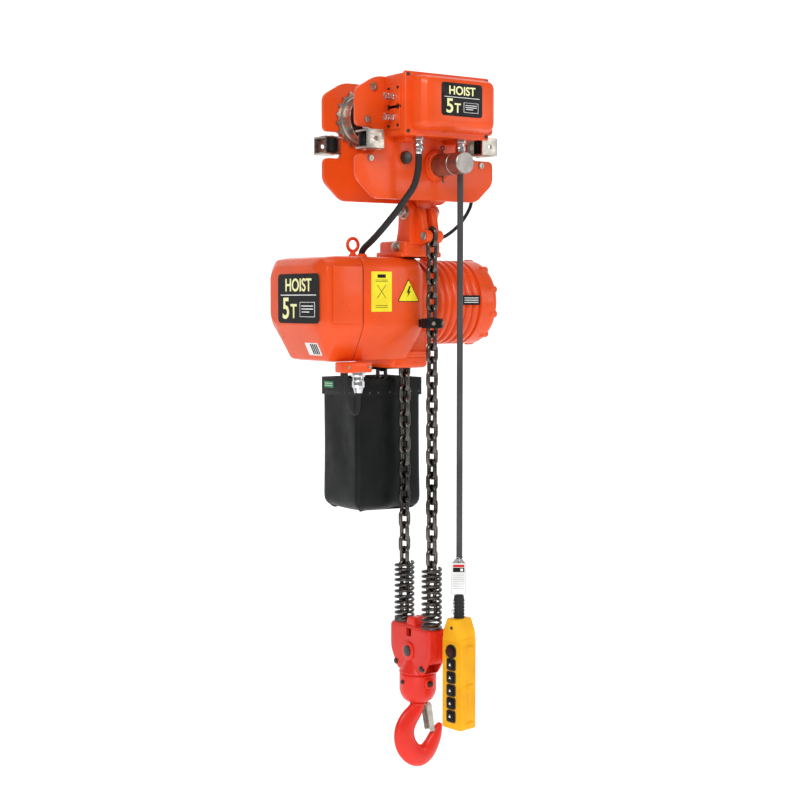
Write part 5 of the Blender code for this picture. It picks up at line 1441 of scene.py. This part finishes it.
def pendant():
    w, d, top, bottom = 0.035, 0.028, PENDANT_TOP, PENDANT_LOW.z
    outline = [
        (-w, bottom + 0.002), (w, bottom + 0.002), (w, top - 0.052), (w - 0.002, top - 0.050),
        (w - 0.002, top - 0.036),
        (0.020, top - 0.006), (0.018, top), (-0.018, top), (-0.020, top - 0.006), (-w + 0.002, top - 0.036),
        (-w + 0.002, top - 0.050), (-w, top - 0.052),
    ]
    halves = []
    for low_y, high_y in ((-d, 0.0006), (-0.0006, d)):
        halves.append(slab("half", rounded(outline, 0.006, 3), "Y", low_y, high_y, 0.004, 4))
    face = [
        (-w + 0.007, bottom + 0.012), (w - 0.007, bottom + 0.012), (w - 0.007, top - 0.062),
        (-w + 0.007, top - 0.062)
    ]
    field_low, field_high = STOP_Z - 5.5 * BUTTON_PITCH, STOP_Z + 0.019
    field = [(-0.0185, field_low), (0.0185, field_low), (0.0185, field_high), (-0.0185, field_high)]
    rim = slab(
        "rim", rounded(face, 0.008, 4), "Y", -d - 0.0016, -d + 0.004, 0.001, 2, [rounded(field, 0.006, 4)]
    )
    lugs = []
    for z in (top - 0.075, (top + bottom) / 2 - 0.030, bottom + 0.018):
        for x in (-w, w):
            lugs.append(cylinder("lug", (x * 0.96, -0.006, z), "Y", 0.006, 0.024, 0.002, 24))
    body = together(halves[0], halves[1], *lugs)
    show(to_pendant(body), "pendant_housing_body", "pendant", YELLOW, ["pendant_housing"], angle=35)
    show(to_pendant(rim), "pendant_face_rim", "pendant", YELLOW, angle=35)
    for name in ("stop_button", "up_button", "down_button", "east_button", "west_button", "start_button"):
        pendant_button(name, 0.0170 if name == "stop_button" else 0.0140, d)
    boot()
    top_screw = cylinder("screw", (0, -d - 0.002, top - 0.024), "Y", 0.0045, 0.004, 0.001, 24)
    show(to_pendant(top_screw), "pendant_top_screw", "pendant", SPRING_STEEL)
    for i in range(3):
        mark = box(
            "mark", (-0.010 + 0.008 * i, -d - 0.0005, top - 0.050),
            (-0.006 + 0.008 * i, -d + 0.001, top - 0.045), 0.0008, 2
        )
        show(to_pendant(mark), f"pendant_mark_{i}", "pendant", YELLOW)


def pendant_button(name, radius, d):
    z = middle(name).z
    square = name != "stop_button"
    bezel_w = radius + 0.0015
    if square:
        outline = rounded(
            [(-bezel_w, z - bezel_w), (bezel_w, z - bezel_w), (bezel_w, z + bezel_w),
                (-bezel_w, z + bezel_w)], 0.006, 5
        )
        inner = rounded(
            [(-radius + 0.002, z - radius + 0.002), (radius - 0.002, z - radius + 0.002),
                (radius - 0.002, z + radius - 0.002), (-radius + 0.002, z + radius - 0.002)], 0.005, 5
        )
        cap_outline = rounded(
            [(-radius + 0.0025, z - radius + 0.0025), (radius - 0.0025, z - radius + 0.0025),
                (radius - 0.0025, z + radius - 0.0025), (-radius + 0.0025, z + radius - 0.0025)], 0.005, 5
        )
    else:
        outline = arc((0, z), bezel_w, 0, 352.5, 47)
        inner = arc((0, z), radius - 0.003, 0, 352.5, 47)
        cap_outline = arc((0, z), radius - 0.0035, 0, 352.5, 47)
    bezel = slab("bezel", outline, "Y", -d - 0.0035, -d + 0.002, 0.001, 2, [inner])
    show(to_pendant(bezel), f"{name}_bezel", "pendant", RUBBER)
    cap = slab("cap", cap_outline, "Y", -d - (0.0065 if square else 0.0110), -d + 0.004, 0.002, 3)
    if square:
        mark = slab(
            "mark", [(0, z + 0.0045), (-0.004, z - 0.003), (0.004, z - 0.003)], "Y", -d - 0.0069, -d - 0.006
        )
        show(to_pendant(mark), f"{name}_mark", name, LABEL_WHITE)
    show(to_pendant(cap), f"{name}_cap", name, PLASTIC if square else STOP_DARK, [name])


STOP_DARK = polymer("stop_cap", (0.030, 0.006, 0.006), 0.35)


def boot():
    top = PENDANT_TOP
    rings = []
    for i in range(6):
        z = top + 0.050 - i * 0.009
        rings += [(0.0130, z), (0.0142, z - 0.0015), (0.0142, z - 0.005), (0.0130, z - 0.0065)]
    profile = [
        (0.0081, PENDANT_HIGH.z), (0.0115, PENDANT_HIGH.z), (0.0125, PENDANT_HIGH.z - 0.004), *rings,
        (0.0142, top - 0.003), (0.0081, top - 0.003)
    ]
    body = turned("boot", profile, (PENDANT.x, PENDANT.y, 0), "Z", 48, closed=True)
    show(body, "pendant_boot", "pendant", RUBBER)


def pendant_tag():
    """The white instruction tag on the cable, with a red and black head and plain lines."""
    centre, right = Vector((PENDANT.x, PENDANT.y, 0)), Vector((0.819, -0.574, 0))
    facing = Vector((-0.574, -0.819, 0))
    place = centre + facing * 0.0092 - right * 0.002
    w, low, high = 0.0190, PENDANT_HIGH.z + 0.004, PENDANT_HIGH.z + 0.098
    outline = rounded(
        [(-w, low), (w, low), (w, high - 0.012), (w - 0.010, high), (-w + 0.010, high), (-w, high - 0.012)],
        0.003, 3
    )
    hole = arc((0, high - 0.008), 0.0022, 0, 330, 11)
    card = slab("card", outline, "Z", 0, 0.0006, 0, 1, [hole])
    show(on_face(card, place, right, (0, 0, 1)), "pendant_tag", "pendant", TAG_GREY)
    middle_z = (low + high) / 2 - 0.005
    sticker("pendant_tag_paper", "pendant", LABEL_WHITE, (2 * w - 0.0022, high - low - 0.0130),
        place, right,
            (0, 0, 1), 0.0007, 0.002, (0, middle_z))
    rows = [
        ("head", LABEL_RED, "hook_red", (0.030, 0.0065), (0, high - 0.0185)),
        ("sign", LABEL_BLACK, "black_plastic", (0.030, 0.012), (0, high - 0.029)),
        ("spot", LABEL_WHITE, "chrome", (0.007, 0.007), (0.008, high - 0.029)),
    ]
    rows += [
        (f"line_{i}", CABLE_GREY, "black_rubber", (0.030, 0.0006), (0, high - 0.040 - 0.0048 * i))
        for i in range(9)
    ]
    for i, (name, tone, slot_name, size, offset) in enumerate(rows):
        lift = 0.0011 if name == "spot" else 0.0009
        sticker(
            f"pendant_tag_{name}", "pendant", tone, size, place, right, (0, 0, 1), lift, 0.0004,
            offset
        )
    tie = [centre + facing * 0.0105 + Vector((0, 0, high - 0.006)),
        centre + facing * 0.0105 + Vector((0, 0, high + 0.002)),
           centre - right * 0.0095 + Vector((0, 0, high + 0.004)),
           centre - facing * 0.0095 + Vector((0, 0, high + 0.004)),
           centre + right * 0.0095 + Vector((0, 0, high + 0.003)),
           centre + facing * 0.0105 - right * 0.002 + Vector((0, 0, high - 0.005))]
    show(tube("tie", flowing(tie, 5), 0.0007, 3), "pendant_tag_tie", "pendant", LABEL_WHITE)
    wire = [centre - right * 0.0125 + Vector((0, 0, PENDANT_TOP - 0.001)),
        centre - right * 0.0165 + Vector((0, 0, PENDANT_TOP + 0.020)),
            centre - right * 0.0150 + Vector((0, 0, PENDANT_TOP + 0.042)),
            centre - right * 0.0120 + Vector((0, 0, PENDANT_TOP + 0.062))]
    show(tube("wire", flowing(wire, 6), 0.0009, 3), "strain_relief_wire", "pendant", CHROME)
    loop = [
        centre - right * (0.0185 - 0.0032 * cos(a)) + Vector((0, 0, PENDANT_TOP + 0.016 + 0.0042 * sin(a)))
        for a in [i * pi / 10 for i in range(20)]
    ]
    show(tube("loop", loop, 0.0009, 3, True), "strain_relief_loop", "pendant", CHROME)


# ---------- cords ----------

BOX_LEAD_ROUTE = (
    (-0.096, -0.135, -0.0395), (-0.096, -0.135, -0.062), (-0.099, -0.133, -0.092),
    (-0.106, -0.126, -0.122), (-0.117, -0.108, -0.150), (-0.128, -0.086, -0.180),
    (-0.137, -0.058, -0.208), (-0.143, -0.026, -0.234), (-0.146, 0.008, -0.256),
    (-0.146, 0.036, -0.270), (-0.146, 0.050, -0.282), (-0.146, 0.050, -0.2945),
)
MOTOR_LEAD_ROUTE = (
    (0.0530, 0.150, 0.030), (0.075, 0.151, 0.029), (0.106, 0.151, 0.024), (0.142, 0.150, 0.012),
    (0.176, 0.148, -0.005), (0.211, 0.147, -0.027), (0.245, 0.146, -0.053), (0.272, 0.144, -0.083),
    (0.285, 0.141, -0.112), (0.282, 0.138, -0.140), (0.261, 0.133, -0.170), (0.232, 0.128, -0.198),
    (0.200, 0.124, -0.220), (0.170, 0.121, -0.234), (0.142, 0.118, -0.239), (0.122, 0.116, -0.240),
    (0.111, 0.116, -0.245), (0.110, 0.116, -0.254), (0.110, 0.116, -0.2643),
)
LIMIT_CABLE_ROUTE = (
    (-0.232, -0.004, -0.5955), (-0.232, -0.004, -0.620), (-0.230, -0.004, -0.645),
    (-0.226, -0.004, -0.668), (-0.219, -0.004, -0.688), (-0.209, -0.004, -0.700),
    (-0.200, -0.004, -0.700), (-0.195, -0.004, -0.688), (-0.194, -0.004, -0.670),
    (-0.194, -0.004, -0.6490),
)
LEAD_END = BOX_LEAD_ROUTE[-1]


def crossing_lead(name, route, radius, node, split):
    """A lead over two joints, in two lengths that meet at the split. Both lengths are left where they are, on
    no body."""
    line = flowing(route, 4)
    meet = min(range(len(line)), key=lambda i: (line[i] - Vector(split)).length)
    bodies = (("trolley", "suspender"), ("suspender", "hoist"))
    for part, (first, second), run in zip(("upper", "lower"), bodies, (line[: meet + 1], line[meet:])):
        obj = tube("lead", run, radius, CORD_SIDES)
        obj.name = f"{name}_{part}"
        obj.data.materials.clear()
        obj.data.materials.append(RUBBER)
        smooth(obj, 60)
        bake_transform(obj)
        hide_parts(node)


def cords():
    crossing_lead("hoist_lead", BOX_LEAD_ROUTE, HOIST_LEAD_RADIUS, "hoist_lead", (-0.117, -0.108, -0.150))
    crossing_lead("motor_lead", MOTOR_LEAD_ROUTE, MOTOR_LEAD_RADIUS, "motor_lead", (0.142, 0.150, 0.012))
    line = flowing(LIMIT_CABLE_ROUTE, 4)
    limit_cable = tube("cable", line, LIMIT_CABLE_RADIUS, CORD_SIDES)
    show(limit_cable, "limit_cable_body", "hoist", RUBBER, ["limit_cable"], angle=60)
    low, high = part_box("pendant_cable")
    line = [Vector((PENDANT.x, PENDANT.y, high.z + (low.z - high.z) * i / 60)) for i in range(61)]
    cable = tube("cable", line, PENDANT_CABLE_RADIUS, CORD_SIDES)
    show(cable, "pendant_cable_body", "pendant", CABLE_GREY, ["pendant_cable"], angle=60)


# ---------- inner pieces that show through openings ----------

def inner_pieces():
    for node, tone in (
        ("trolley_contactors", PLASTIC), ("control_panel", PLASTIC), ("load_sheave", CHAIN_STEEL),
        ("rotor", STEEL)
    ):
        dress(node, tone)


# ---------- studio ----------

def studio():
    """A pale floor that rises behind the object, and large soft lights."""
    floor_z, front_y, back_y, rise, top_z, half_width = -2.55, -9.0, 5.5, 2.5, 7.0, 14
    profile = [(front_y, floor_z), (back_y - rise, floor_z)]
    profile += [
        (back_y - rise + rise * sin(a), floor_z + rise - rise * cos(a))
        for a in [radians(9 * i) for i in range(1, 11)]
    ]
    profile.append((back_y, top_z))
    work = bmesh.new()
    rows = [[work.verts.new((x, y, z)) for y, z in profile] for x in (-half_width, half_width)]
    for i in range(len(profile) - 1):
        work.faces.new((rows[0][i], rows[1][i], rows[1][i + 1], rows[0][i + 1]))
    sweep = from_bmesh("studio_sweep", work)
    sweep.matrix_world = Matrix.Rotation(CAMERA_TURN, 4, "Z")
    sweep = baked(sweep)
    made, tree, shader, place = surface("studio_white", (0.86, 0.86, 0.86), 0.9)
    vary_colour(tree, shader, noise(tree, place, 0.6), (0.85, 0.85, 0.85), (0.87, 0.87, 0.87))
    shader.inputs["Emission Color"].default_value = (1, 1, 1, 1)
    shader.inputs["Emission Strength"].default_value = 0.55
    sweep.data.materials.append(made)
    sweep.data.shade_smooth()
    world = bpy.data.worlds.new("studio_world")
    world.use_nodes = True
    world.node_tree.nodes["Background"].inputs["Color"].default_value = (1, 1, 1, 1)
    world.node_tree.nodes["Background"].inputs["Strength"].default_value = 0.30
    bpy.context.scene.world = world
    bpy.context.scene.view_settings.view_transform = "Standard"
    area_light("key_light", (-3.2, -3.4, 2.4), (0, 0, -0.5), 2.2, 135)
    area_light("fill_light", (2.8, -3.6, 0.6), (0, 0, -0.6), 2.0, 30)
    area_light("top_light", (0.4, 0.6, 3.6), (0, 0, -0.4), 2.4, 44)
    area_light("low_light", (-2.4, -2.6, -2.0), (0, 0, -1.2), 1.6, 14)


def area_light(name, place, target, size, power):
    data = bpy.data.lights.new(name, "AREA")
    data.size = size
    data.energy = power
    light = new_object(name, data)
    light.location = place
    light.rotation_euler = (Vector(target) - Vector(place)).to_track_quat("-Z", "Y").to_euler()


def camera():
    """From the near left, at the height of the hoist body, and tipped a little down."""
    data = bpy.data.cameras.new("camera")
    data.lens = CAMERA_LENS
    data.sensor_width = 36
    seat = new_object("camera", data)
    seat.location = CAMERA_PLACE
    seat.rotation_euler = (pi / 2 - CAMERA_TILT, 0, CAMERA_TURN)
    bpy.context.scene.camera = seat


camera()
studio()
side_plate("near", -1)
side_plate("far", 1)
plate_bolts()
suspension_shaft()
wheels()
guides()
drive_unit()
control_box()
suspension()
hoist_casing()
hoist_motor()
hoist_fittings()
chain_bag()
chain_falls()
chain_springs()
block_shells()
holder()
hook()
latch()
pendant()
pendant_tag()
cords()
inner_pieces()
